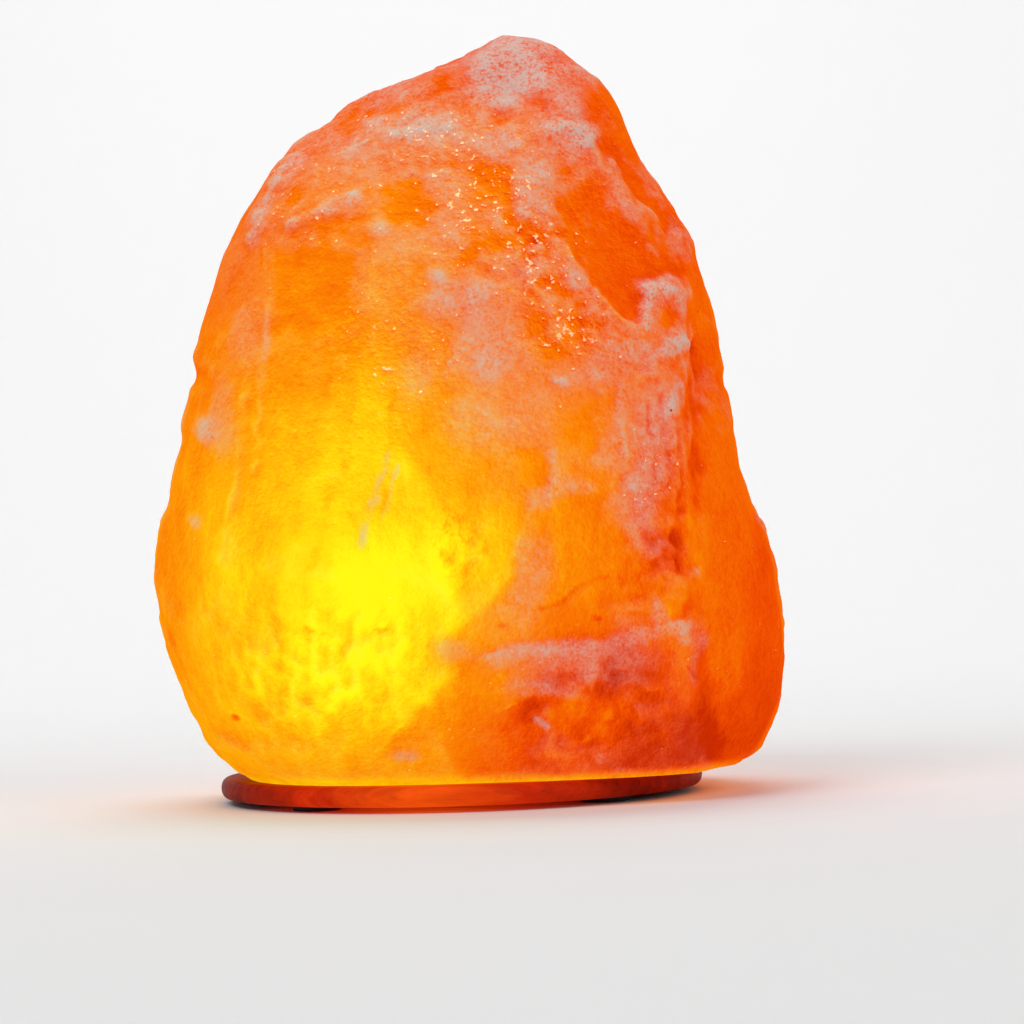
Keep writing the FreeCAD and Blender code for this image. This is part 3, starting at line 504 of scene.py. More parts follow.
def crystal_blank():
    """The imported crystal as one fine, even mesh."""
    crystal = new_object("rock_salt", frame["nodes"]["salt_crystal"].data.copy())
    crystal.data.materials.clear()
    remesh = crystal.modifiers.new("remesh", "REMESH")
    remesh.mode = "VOXEL"
    remesh.voxel_size = VOXEL
    apply_modifiers(crystal)
    return crystal


def outer_share(co):
    """1 on the hewn outside, 0 in the drilled hole, on the sawn bottom and just round them."""
    low, high, _ = span("salt_crystal")
    axis = middle_of("wood_base")
    away = np.hypot(co[:, 0] - axis.x, co[:, 1] - axis.y)
    over_bottom = co[:, 2] > low + HOLE_FROM
    hole_radius = away[over_bottom].min()
    in_hole = over_bottom & (away < hole_radius + MM) & (co[:, 2] < high * HOLE_SHARE)
    hole_top = co[in_hole, 2].max() + HOLE_TOP
    beside = smooth_step(hole_radius + MM, hole_radius + HOLE_CLEAR, away)
    above = smooth_step(hole_top, hole_top + HOLE_CLEAR, co[:, 2])
    return smooth_step(*BOTTOM_FADE, co[:, 2] - low) * np.maximum(beside, above)


def layer(maker, points, amount, size, seed, *how):
    """A layer of noise or facets, from a row of numbers."""
    return amount * maker(points, size * MM, seed, *how)


def worn_relief(s):
    """The relief that the whole outside has, in millimetres: swells, worn facets, chips and roughness."""
    relief = layer(rough_noise, s.co, *SWELLS) + layer(rough_noise, s.co, *ROUGHNESS)
    relief += (1 - s.over(CALM)) * layer(facets, s.bent, *BROAD_FACETS)
    relief += (UNCHIPPED + (1 - UNCHIPPED) * s.chips) * layer(facets, s.bent, *SMALL_FACETS)
    relief += s.chips * (layer(facets, s.co, *CHIP_FACETS) + layer(rough_noise, s.co, *CHIPPED_GRAIN))
    return relief + layer(rough_noise, s.co, *GRAIN)


def mark_front(s):
    """Marks what the photograph shows on the front."""
    broken = BROKEN_BASE + BROKEN_SWING * np.clip(layer(noise, s.co, *BROKEN), -1, 1)
    for line, half_width, *hundredths in LINES:
        s.mark(np.exp(-((from_line(s.pixels, line) / half_width) ** 2)) * s.front * broken, hundredths)
    for corners, edge, *hundredths in FACES:
        s.mark(smooth_step(-edge, edge, from_face(s.pixels, corners)) * s.front, hundredths)
    for *patch, relief, frost, light in PATCHES + BLOTCHES:
        s.mark(s.on_front(*patch), (relief, frost, light))
    for line, reach, *hundredths in SHADES:
        away = from_line(s.pixels, line)
        near = smooth_step(-SHADE_EDGE, SHADE_EDGE, away) * np.exp(-((away / reach) ** 2))
        s.mark(near * s.front, hundredths)
    rim = smooth_step(*RIM_FADE, 1 - np.abs(s.normals[:, 1])) * s.share
    for x, y, reach, hundredths in RIM_DENTS:
        s.marks[RELIEF] += in_patch(s.spots, x, y, reach, reach) * rim * hundredths / 100


def mark_cells(s):
    """Marks the crackled patch, the dimples in two sizes, and the dull and blotchy patch."""
    dimples = np.maximum(s.on_front(*DIMPLES), BACK_DIMPLES * (1 - s.front) * (1 - s.chips))
    for weight, rows in ((s.on_front(*CRACKLE), CRACKLE_CELLS), (dimples, DIMPLE_CELLS)):
        for size, stretch, seed, bowl, groove, narrow, bright, level, dark, crisp in rows:
            first, second = cells(s.co * np.array(stretch), size * MM, seed)
            from_border = second - first
            hollow = bowl * (first**2 - 0.3) - groove * np.exp(-from_border * narrow)
            s.marks[RELIEF] += weight * hollow
            s.marks[LIGHT] += weight * (bright * (first - level) - dark * np.exp(-from_border * crisp))
    dull = s.on_front(*DULL)
    blotches = layer(rough_noise, s.co, *DULL_BLOTCHES)
    s.marks[FROST] += dull * (DULL_WHITE + BLOTCH_WHITE * np.clip(blotches, 0, 1))
    s.marks[LIGHT] -= dull * (DULL_DARK + BLOTCH_DARK * np.clip(-blotches, -0.3, 1))


def frost_on(s, facing, fine, broad, tilt):
    """0 to 1: frost where it stands proud, painted light from above where it faces up, clear and deep where
    low.
    """
    over_middle = PHOTO_SIZE / 2 - s.spots[:, 0]
    clear = smooth_step(*CLEAR_RANGE, s.spots[:, 1] + CLEAR_SLANT * over_middle) * s.front
    frost = WHITE_NEAR * np.clip(fine, -0.1, 0.25) + WHITE_FAR * np.clip(broad, -0.5, 1.0)
    # WHITE_LEAN * tilt whitens what leans up: painted light from above on the small relief
    frost += WHITE_MARKED * s.marks[FROST] + WHITE_LEAN * tilt - CLEAR_LOSS * clear
    mottle = layer(rough_noise, s.co, *MOTTLE) + MOTTLE_BASE
    # WHITE_UP whitens what faces up: painted light from above
    frost += (1 - clear) * (WHITE_UP * np.clip(facing[:, 2] - 0.02, -0.2, 1.0) + mottle)
    frost += (1 - s.front) * (layer(rough_noise, s.bent, *BACK_FROST) + BACK_BASE)
    frost *= np.maximum(1 - CLEAR_SHARE * clear, smooth_step(*MARKED_RANGE, s.marks[FROST]))
    return np.clip(frost * s.share, 0, 1)


def glow_on(s, facing, fine, broad, tilt):
    """The light that comes through: it falls off with the way through the salt."""
    outward = s.co - GLOW_MIDDLE
    way = np.linalg.norm(outward, axis=1)
    glow = GLOW_FLOOR + GLOW_RISE * np.exp(-way / GLOW_FADE)
    from_lamp = np.linalg.norm(s.co - LAMP_MIDDLE, axis=1)
    glow += BACK_GLOW * np.exp(-from_lamp / GLOW_FADE) * (1 - s.front)
    glow += s.marks[LIGHT] + layer(rough_noise, s.co, *GLOW_CLOUDS)
    glow += layer(rough_noise, s.co @ STREAK_SHEAR, *STREAKS) * smooth_step(*STREAKED_RANGE, glow)
    glow += LIGHT_NEAR * np.clip(fine, -0.3, 0.3) + LIGHT_FAR * np.clip(broad, -1.5, 1.5)
    glow += LIGHT_LEAN * tilt
    towards = np.clip(dot(facing - s.normals, outward) / way, -0.5, 0.3)
    return np.clip(glow * (1 + LIGHT_TOWARDS * towards), 0, 1.2)


def sculpted_crystal():
    """The crystal, its facets rounded, with its relief, and frost, light and sparkle for the material."""
    crystal = crystal_blank()
    mesh = crystal.data
    s = Sculpture(mesh)
    mark_front(s)
    mark_cells(s)
    relief = (worn_relief(s) - RELIEF_SUNK + s.marks[RELIEF]) * s.share
    moved = s.co + s.normals * (relief * MM)[:, None]
    set_vertices(mesh, moved)
    facing = smooth_normals(mesh, s.ends, 1)
    fine = dot(moved - averaged(moved, s.ends, FINE_ROUNDS), s.normals) / MM
    broad = dot(moved - averaged(moved, s.ends, BROAD_ROUNDS), s.normals) / MM
    tilt = facing[:, 2] - s.normals[:, 2]
    for name, values in (
        ("frost", frost_on(s, facing, fine, broad, tilt)),
        ("glow", glow_on(s, facing, fine, broad, tilt)),
        ("sparkle", np.maximum(s.over(SPARKLE_PATCHES), 0.6 * s.chips * (1 - s.front))),
    ):
        mesh.attributes.new(name, "FLOAT", "POINT").data.foreach_set("value", values.astype(np.float32))
    shade_smooth(mesh)
    return crystal


# ---------------------------------------------------------------- turned, threaded and rounded pieces
FULL_TURN = 2 * math.pi
CORNER_SHARE = 0.45  # a rounded corner takes at most this share of each side
SHARP_ANGLE = math.radians(40)  # edges that bend more than this are shaded sharp
BEVELLED_ANGLE = math.radians(35)
FLAT_ANGLE = math.radians(1.5)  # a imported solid's faces that bend less than this are one flat face
THREAD_PITCH = 2.82 * MM  # the lamp's cap and its shell: the same turns, so they mesh as it unscrews
NIPPLE_PITCH = 1.0 * MM
FLUTES = 28  # grip flutes round the lampholder's skirt
BASE_HOLE = 22.0 * MM  # radius of the hole that the lampholder passes through
BASE_RIM = 2.0 * MM  # how far in the base's edge is rounded
FOOT_SEAT = 6.1 * MM
SCREW_CIRCLE, SCREW_TURNS = 36.0 * MM, (30, 150, 270)
SCREW_HEAD, SCREW_SHANK = 3.6 * MM, 1.85 * MM


def middle_of(node):
    low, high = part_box(node)
    return (low + high) / 2


def span(node):
    """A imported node's lowest and highest z, and half its width."""
    low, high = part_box(node)
    return low.z, high.z, (high.x - low.x) / 2


def rounded(outline, radius, steps=4):
    """A closed outline of (radius, height) corners, with each corner replaced by a short curve."""
    corners = [np.array(corner, float) for corner in outline]
    points = []
    for before, here, after in zip(corners[-1:] + corners[:-1], corners, corners[1:] + corners[:1]):
        back, on = before - here, after - here
        start = here + back * min(CORNER_SHARE, radius / np.linalg.norm(back))
        end = here + on * min(CORNER_SHARE, radius / np.linalg.norm(on))
        for t in np.linspace(0, 1, steps + 1):
            points.append(start * (1 - t) ** 2 + here * 2 * t * (1 - t) + end * t**2)
    return points


def divided(outline, step):
    """The same closed outline, with its long runs divided for threads."""
    points = []
    for here, after in zip(outline, outline[1:] + outline[:1]):
        parts = max(1, math.ceil(np.linalg.norm(after - here) / step))
        points += [here + (after - here) * i / parts for i in range(parts)]
    return points


def thread(height, angle, low, high, pitch, depth):
    """How far a right-hand thread cuts in between two heights, running out at both."""
    wave = 0.5 - 0.5 * np.cos(FULL_TURN * height / pitch - angle)
    running_in = smooth_step(low, low + pitch / 2, height)
    return -depth * wave * running_in * smooth_step(high, high - pitch / 2, height)


def turned(name, outline, middle, segments=96, carve=None, sweep=None):
    """A closed outline of (radius, height) turned round the upright axis through middle.

    carve(radius, height, angle) adds to the radius, for threads and flutes. A sweep of two angles
    makes only that part of the turn, closed at its ends.
    """
    rings = segments + 1 if sweep else segments
    start, end = sweep or (0.0, FULL_TURN)
    angle = (start + (end - start) * np.arange(rings) / segments)[:, None]
    radius, height = np.array(outline, float).T
    radius = radius + (carve(radius, height, angle) if carve else 0.0 * angle)
    height = np.broadcast_to(height, radius.shape)
    across, deep = middle.x + radius * np.cos(angle), middle.y + radius * np.sin(angle)
    co = np.stack([across, deep, height], axis=2).reshape(-1, 3)
    count = len(outline)
    faces = []
    for i in range(segments):
        here, there = i * count, (i + 1) % rings * count
        for k in range(count):
            m = (k + 1) % count
            faces.append((here + k, there + k, there + m, here + m))
    if sweep:
        faces.append(tuple(range(count)))
        faces.append(tuple(reversed(range(segments * count, rings * count))))
    mesh = new_mesh(name, co.tolist(), faces)
    clean(mesh)
    return new_object(name, mesh)


def clean(mesh, flat_angle=None):
    """Merges what lies on itself, turns the faces outwards and sets the shading."""
    bm = bmesh.new()
    bm.from_mesh(mesh)
    bmesh.ops.remove_doubles(bm, verts=bm.verts, dist=MM / 1000)
    bmesh.ops.dissolve_degenerate(bm, edges=bm.edges, dist=MM / 1000)
    if flat_angle:
        bmesh.ops.dissolve_limit(bm, angle_limit=flat_angle, verts=bm.verts, edges=bm.edges)
    bmesh.ops.recalc_face_normals(bm, faces=bm.faces)
    bm.to_mesh(mesh)
    bm.free()
    shade_smooth(mesh)
    mesh.set_sharp_from_angle(angle=SHARP_ANGLE)


def joined(name, pieces):
    """Several objects as one."""
    bm = bmesh.new()
    for piece in pieces:
        bm.from_mesh(piece.data)
        bpy.data.objects.remove(piece)
    mesh = bpy.data.meshes.new(name)
    bm.to_mesh(mesh)
    bm.free()
    clean(mesh)
    return new_object(name, mesh)


def softened(name, node, width):
    """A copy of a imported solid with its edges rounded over."""
    piece = new_object(name, frame["nodes"][node].data.copy())
    clean(piece.data, FLAT_ANGLE)
    bevel = piece.modifiers.new("bevel", "BEVEL")
    bevel.width = width
    bevel.segments = 3
    bevel.limit_method = "ANGLE"
    bevel.angle_limit = BEVELLED_ANGLE
    apply_modifiers(piece)
    clean(piece.data)
    return piece


def turned_base():
    """The base's disc: a round-edged rim, cut for the cord's groove, the feet and the screws."""
    low, high, radius = span("wood_base")
    middle, half, shoulder, edge = (low + high) / 2, (high - low) / 2, radius - BASE_RIM, 0.4 * MM
    rim = [(shoulder + BASE_RIM * math.cos(a) ** 0.8, middle + half * math.sin(a))
           for a in np.radians(np.linspace(-84, 84, 15))]
    outline = [(BASE_HOLE, low + edge), (BASE_HOLE + edge, low), (shoulder, low), *rim,
               (shoulder, high), (BASE_HOLE + edge, high), (BASE_HOLE, high - edge)]
    disc = turned("turned_base", outline, middle_of("wood_base"), 160)
    cutter = joined("cutter", [base_groove(low), *foot_seats(low), *screw_holes(low, high)])
    cut = disc.modifiers.new("cut", "BOOLEAN")
    cut.operation = "DIFFERENCE"
    cut.solver = "EXACT"
    cut.object = cutter
    apply_modifiers(disc)
    bpy.data.objects.remove(cutter)
    clean(disc.data)
    return disc


def base_groove(low):
    """What cuts the cord's groove out of the base's underside."""
    half, top, start, end = 3.25 * MM, low + 3.2 * MM, 20.0 * MM, 70.0 * MM
    middle = middle_of("wood_base").x
    ring = ((-half, start), (half, start), (half, end), (-half, end))
    corners = [(middle + x, y, z) for z in (low - MM, top) for x, y in ring]
    faces = [(0, 3, 2, 1), (4, 5, 6, 7), (0, 1, 5, 4), (1, 2, 6, 5), (2, 3, 7, 6), (3, 0, 4, 7)]
    return new_object("groove", new_mesh("groove", corners, faces))


def foot_seats(low):
    """What cuts the seats of the four feet."""
    for i in range(1, 5):
        foot = f"rubber_foot_{i}"
        _, top, _ = span(foot)
        seat = [(0, low - MM), (FOOT_SEAT, low - MM), (FOOT_SEAT, top), (0, top)]
        yield turned("seat", seat, middle_of(foot), 48)


def screw_holes(low, high):
    """What cuts the countersunk holes of the three screws."""
    seat = low + 0.1 * MM
    recess = [(0, low - MM), (SCREW_HEAD, low - MM), (SCREW_HEAD, seat),
              (SCREW_SHANK, seat + SCREW_HEAD - SCREW_SHANK), (SCREW_SHANK, high + MM), (0, high + MM)]
    for turn in map(math.radians, SCREW_TURNS):
        place = middle_of("wood_base") + SCREW_CIRCLE * Vector((math.cos(turn), math.sin(turn), 0))
        yield turned("recess", recess, place, 32)


def rolled_cap():
    """The lamp's cap of thin brass: a rolled thread, plain at its top and turned in at its tip."""
    low, high, outer = span("lamp_cap")
    wall, tip, shoulder = 0.3 * MM, 5.9 * MM, low + 0.9 * MM
    outline = [(tip, low), (outer, shoulder), (outer, high), (outer - wall, high),
               (outer - wall, shoulder), (tip, low + wall)]
    outline = divided(rounded(outline, 0.12 * MM, 2), 0.2 * MM)

    def rolled(radius, height, angle):
        return thread(height, angle, low + 1.2 * MM, high - 4.6 * MM, THREAD_PITCH, 0.6 * MM)

    return turned("rolled_cap", outline, middle_of("lamp_cap"), 72, rolled)


def rolled_shell():
    """The holder's brass shell: the same thread, a lip round its mouth and a tab down to its terminal."""
    low, high, lip = span("threaded_shell")
    inner, wall, bottom = 7.2 * MM, 0.5 * MM, high - 17.0 * MM
    outer, half_tab = inner + wall, 2.0 * MM
    outline = [(inner, bottom), (outer, bottom), (outer, high - wall),
               (lip, high - wall), (lip, high), (inner, high)]
    outline = divided(rounded(outline, 0.2 * MM, 3), 0.2 * MM)

    def rolled(radius, height, angle):
        cut = thread(height, angle, bottom + 0.8 * MM, high - 1.4 * MM, THREAD_PITCH, 0.3 * MM)
        return np.where(radius > outer + 0.01 * MM, 0.0, cut)

    middle = middle_of("bulb_contact")
    sleeve = turned("sleeve", outline, middle, 96, rolled)
    strip = [(inner, low), (outer, low), (outer, bottom + wall), (inner, bottom + wall)]
    sweep = (math.pi - half_tab / outer, math.pi + half_tab / outer)
    return joined("rolled_shell", [sleeve, turned("tab", strip, middle, 8, None, sweep)])


def threaded_nipple():
    """The hollow nipple with its fine outside thread."""
    low, high, _ = span("cord_nipple")
    inner, outer = 3.25 * MM, 5.0 * MM
    outline = rounded([(inner, low), (outer, low), (outer, high), (inner, high)], 0.3 * MM, 3)

    def cut(radius, height, angle):
        groove = thread(height, angle, low, high, NIPPLE_PITCH, 0.45 * MM)
        return np.where(radius > outer - 0.5 * MM, groove, 0.0)

    return turned("threaded_nipple", divided(outline, 0.12 * MM), middle_of("cord_nipple"), 48, cut)


def fluted_skirt():
    """The holder's outer sleeve with its grip flutes."""
    low, high, outer = span("holder_skirt")
    mouth, inner, seat = 8.8 * MM, 11.7 * MM, 12.7 * MM
    slope, roof, step = 1.6 * MM, high - 1.5 * MM, low + 6.1 * MM
    outline = [(seat, low), (outer, low), (outer, high - slope), (outer - slope, high), (mouth, high),
               (mouth, roof), (inner, roof), (inner, step), (seat, step)]
    outline = divided(rounded(outline, 0.5 * MM), 0.8 * MM)

    def flutes(radius, height, angle):
        ends = smooth_step(low + 1.5 * MM, low + 3.5 * MM, height)
        ends = ends * smooth_step(high - 3 * MM, high - 5 * MM, height)
        groove = np.clip(np.cos(angle * FLUTES), 0, 1) ** 1.5
        return np.where(radius > outer - 0.1 * MM, -0.35 * MM * groove * ends, 0.0)

    return turned("fluted_skirt", outline, middle_of("holder_skirt"), FLUTES * 8, flutes)


def blown_glass():
    """The lamp's clear glass: a neck that swells into a straight-sided bulb with a round top."""
    low, high, radius = span("bulb_glass")
    wall, neck, rim = 0.7 * MM, 5.7 * MM, low + 4.0 * MM
    shoulder, dome = rim + 12.0 * MM, high - radius
    t = np.linspace(0, 1, 12)
    controls = (neck, neck, radius, radius), (rim, rim + 2.5 * MM, rim + 5.0 * MM, shoulder)
    swell = [a * (1 - t) ** 3 + b * 3 * t * (1 - t) ** 2 + c * 3 * t**2 * (1 - t) + d * t**3
             for a, b, c, d in controls]
    turn = np.radians(np.linspace(0, 90, 14))
    top = zip(radius * np.cos(turn), dome + radius * np.sin(turn))
    outside = np.array([(neck, low), *zip(*swell), *top])
    across, up = np.gradient(outside, axis=0).T
    inside = outside + wall * np.stack([-up, across], axis=1) / np.hypot(across, up)[:, None]
    inside[:, 0] = np.maximum(inside[:, 0], 0)
    inside[0], inside[-1] = (neck - wall, low), (0, high - wall)
    return turned("blown_glass", [*outside, *inside[::-1]], middle_of("bulb_glass"), 64)


def pressed_stem():
    """The glass stem: a flared skirt that narrows to the pressed end that carries the wires."""
    low, high, flare = span("glass_stem")
    radius, edge = 2.3 * MM, 0.6 * MM
    curve = [(radius + (flare - radius) * (1 - t) ** 2.5, low + 0.4 * MM + t * 5 * MM)
             for t in np.linspace(0, 1, 10)]
    outline = [(0, low), (flare, low), *curve, (radius, high - edge), (radius - edge, high), (0, high)]

    def pinched(radius, height, angle):
        return -0.35 * radius * np.sin(angle) ** 2 * smooth_step(low + 6 * MM, high - 2 * MM, height)

    return turned("pressed_stem", outline, middle_of("glass_stem"), 48, pinched)


def coil_points():
    """Points along the filament's coil, on its two straight runs from the leads to the support."""
    radius, pitch, steps, inset = 0.33 * MM, 0.34 * MM, 10, 0.5 * MM
    low, high, half = span("filament")
    side, axis, half = Vector((0, 1, 0)), middle_of("filament"), half - 0.2 * MM
    ends = [Vector((axis.x + x, axis.y, z))
            for x, z in ((-half, low + inset), (0, high - inset), (half, low + inset))]
    for start, end in zip(ends, ends[1:]):
        run = end - start
        up = run.normalized().cross(side)
        count = run.length / pitch * steps
        for i in range(int(count)):
            a = FULL_TURN * i / steps
            yield start + run * i / count + radius * (side * math.cos(a) + up * math.sin(a))


def coiled_filament():
    """The filament as a fine coil."""
    points = list(coil_points())
    curve = bpy.data.curves.new("coil", "CURVE")
    curve.dimensions = "3D"
    curve.bevel_depth = 0.07 * MM
    curve.bevel_resolution = 1
    spline = curve.splines.new("POLY")
    spline.points.add(len(points) - 1)
    for place, point in zip(spline.points, points):
        place.co = (*point, 1.0)
    coil = new_object("coil", curve)
    mesh = evaluated_mesh(coil)
    bpy.data.objects.remove(coil)
    shade_smooth(mesh)
    return new_object("coiled_filament", mesh)


# ---------------------------------------------------------------- material helpers
class Surface:
    """A node material with its shader. A value is a number, a vector, a colour or another node's socket."""

    def __init__(self, name):
        self.material = bpy.data.materials.new(name)
        self.material.use_nodes = True
        self.tree = self.material.node_tree
        self.shader = self.tree.nodes["Principled BSDF"]

    def node(self, kind, values=(), **settings):
        """A new node with its settings; values are for its inputs, in their order."""
        node = self.tree.nodes.new("ShaderNode" + kind)
        for key, value in settings.items():
            setattr(node, key, value)
        for socket, value in zip(node.inputs, values):
            self.feed(socket, value)
        return node

    def feed(self, socket, value):
        if isinstance(value, bpy.types.NodeSocket):
            self.tree.links.new(value, socket)
        else:
            socket.default_value = (*value, 1.0) if socket.type == "RGBA" else value

    def shade(self, **values):
        """Feeds the shader's inputs, named with _ for a space."""
        for name, value in values.items():
            self.feed(self.shader.inputs[name.replace("_", " ")], value)

    def attribute(self, name):
        return self.node("Attribute", attribute_name=name).outputs["Fac"]

    def maths(self, operation, *values, clamp=False):
        return self.node("Math", values, operation=operation, use_clamp=clamp).outputs[0]

    def times(self, first, second, clamp=False):
        return self.maths("MULTIPLY", first, second, clamp=clamp)

    def minus(self, first, second, clamp=False):
        return self.maths("SUBTRACT", first, second, clamp=clamp)

    def total(self, *values, clamp=False):
        whole = values[0]
        for value in values[1:-1]:
            whole = self.maths("ADD", whole, value)
        return self.maths("ADD", whole, values[-1], clamp=clamp)

    def vector_maths(self, operation, *values):
        node = self.node("VectorMath", values, operation=operation)
        return node.outputs["Value" if operation in ("DOT_PRODUCT", "DISTANCE") else "Vector"]

    def mix(self, factor, first, second):
        """A mix of two colours."""
        node = self.node("Mix", data_type="RGBA", clamp_factor=True)
        for i, value in ((0, factor), (6, first), (7, second)):
            self.feed(node.inputs[i], value)
        return node.outputs[2]

    def place(self, stretch=None, shift=None):
        """The lamp's own coordinates, in metres, stretched or shifted."""
        place = self.node("TexCoord").outputs["Object"]
        if stretch or shift:
            mapping = self.node("Mapping")
            self.feed(mapping.inputs["Vector"], place)
            self.feed(mapping.inputs["Scale"], stretch or (1.0, 1.0, 1.0))
            self.feed(mapping.inputs["Location"], shift or (0.0, 0.0, 0.0))
            place = mapping.outputs["Vector"]
        return place

    def texture(self, kind, scale, detail, rough, **moved):
        """A texture node of noise or cells, with its scale in bumps per metre."""
        node = self.node(kind)
        self.feed(node.inputs["Vector"], self.place(**moved))
        self.feed(node.inputs["Scale"], scale)
        self.feed(node.inputs["Detail"], detail)
        self.feed(node.inputs["Roughness"], rough)
        return node

    def noise(self, scale, detail=3.0, rough=0.55, **moved):
        return self.texture("TexNoise", scale, detail, rough, **moved).outputs[0]

    def ramp(self, value, stops):
        """A colour ramp: stops are (place, colour)."""
        node = self.node("ValToRGB", (value,))
        elements = node.color_ramp.elements
        for place, _ in stops[2:]:
            elements.new(place)
        for element, (place, colour) in zip(elements, stops):
            element.position = place
            element.color = (*colour, 1.0)
        return node.outputs[0]

    def bump(self, height, distance, strength=1.0, under=None):
        """Relief for the shader's normal, on top of the relief under it."""
        node = self.node("Bump")
        self.feed(node.inputs["Distance"], distance)
        self.feed(node.inputs["Strength"], strength)
        self.feed(node.inputs["Height"], height)
        if under:
            self.feed(node.inputs["Normal"], under)
        self.shade(Normal=node.outputs[0])
        return node.outputs[0]


def paint(name, colour, roughness, metallic=0.0, spread=0.15, grain=900.0, coat=0.0):
    """A plain surface with fine grain, slight unevenness of colour and wear in its sheen."""
    surface = Surface(name)
    fine, cloud = surface.noise(grain, 4.0), surface.noise(grain / 12, 3.0)
    dark = tuple(c * (1 - spread) for c in colour)
    light = tuple(min(1.0, c * (1 + spread)) for c in colour)
    surface.shade(
        Base_Color=surface.mix(cloud, dark, light),
        Roughness=surface.maths("MULTIPLY_ADD", fine, 0.25, roughness - 0.12),
        Metallic=metallic,
        Coat_Weight=coat,
    )
    surface.bump(fine, 0.05 * MM)
    return surface.material


# ---------------------------------------------------------------- materials
BLACK = (0.0, 0.0, 0.0)
# each layer of noise in the salt: bumps per metre, detail, roughness
CLOUDS, FINE, GRIT, FLAKES = (95.0, 5.0, 0.6), (520.0, 5.0, 0.62), (1300.0, 2.0, 0.6), (700.0, 1.5, 0.5)
GLINT_SHADOW_DROP = 0.35 * MM  # how far under a painted glint its painted shadow lies
# painted glints: how sharp their edge is, where in the noise they start, how much sparkle lowers that, and
# how dark the painted shadow under each is
GLINT_EDGE, GLINT_LIMIT, GLINT_SPREAD, GLINT_SHADOW_DARK = 14.0, 0.765, 0.175, 0.16
FROST_BREAK, FROST_GRIT = 2.4, 3.4  # how strongly noise breaks the frost into grains
FROST_VEIL, SPECK_VEIL = 0.75, 0.6  # how much light frost and specks keep in
SPECK_SCALE, SPECK_SIZE, SPECK_RARITY = 150.0, 0.05, 0.93
# the frost's own colour, and a painted glint's colour and its painted light
FROST_COLOUR, GLINT_COLOUR, GLINT_LIGHT = (0.53, 0.472, 0.43), (0.95, 0.72, 0.50), (0.9, 0.55, 0.16)
SPECK_COLOUR = (0.12, 0.030, 0.012)
FINE_BUMP, GRIT_BUMP, FLAKE_BUMP = (0.35 * MM, 0.7), (0.20 * MM, 0.5), (0.30 * MM, 0.6)  # height, strength
LEAN_LIGHT, SPARKLE_LEAN = 0.40, 0.45  # how much brighter it is where it leans towards the light
CLOUD_LIGHT, FINE_LIGHT, GRIT_LIGHT = 0.10, 0.14, 0.12  # the light's unevenness, by the noise it follows
# the salt's colour, painted a little yellower where the light inside is stronger
SALT_BODY_BY_LIGHT = ((0.0, (0.12, 0.006, 0.0006)), (1.0, (0.14, 0.03, 0.0010)))
SALT_LIGHT = (
    (0.0, (0.50, 0.020, 0.0002)),
    (0.20, (0.80, 0.066, 0.0002)),
    (0.45, (0.88, 0.215, 0.0008)),
    (0.65, (0.90, 0.43, 0.0020)),
    (0.80, (0.90, 0.65, 0.0030)),
    (1.0, (0.90, 0.92, 0.0060)),
)
WOOD_GRAIN, WOOD_ALONG = (60.0, 6.0, 0.6), (0.35, 5.0, 3.0)  # noise, and how it is drawn out
WOOD_PORES, PORES_ALONG, PORE_LIMIT = (420.0, 3.0, 0.5), (0.10, 2.2, 2.2), 0.36
WOOD_STAIN = ((0.30, (0.15, 0.008, 0.002)), (0.52, (0.27, 0.012, 0.003)), (0.72, (0.38, 0.020, 0.004)))
WOOD_LIGHT = ((0.0, BLACK), (0.45, (0.34, 0.012, 0.0)), (1.0, (0.75, 0.09, 0.001)))
WOOD_PORE = (0.04, 0.008, 0.004)


def lean_to_light(salt, fine, grit, flakes):
    """The salt's fine relief, and how far it leans towards the light inside."""
    relief = salt.bump(fine, *FINE_BUMP)
    relief = salt.bump(grit, *GRIT_BUMP, relief)
    relief = salt.bump(flakes, *FLAKE_BUMP, relief)
    swerve = salt.vector_maths("SUBTRACT", relief, salt.node("NewGeometry").outputs["Normal"])
    outward = salt.vector_maths("NORMALIZE", salt.vector_maths("SUBTRACT", salt.place(), GLOW_MIDDLE))
    return salt.vector_maths("DOT_PRODUCT", swerve, outward)


def dark_specks(salt):
    """Dark specks, few and far between."""
    specks = salt.texture("TexVoronoi", SPECK_SCALE, 0.0, 0.0)
    chance = salt.node("SeparateColor", (specks.outputs["Color"],)).outputs[1]
    tiny = salt.maths("LESS_THAN", specks.outputs["Distance"], SPECK_SIZE)
    return salt.times(salt.maths("GREATER_THAN", chance, SPECK_RARITY), tiny)


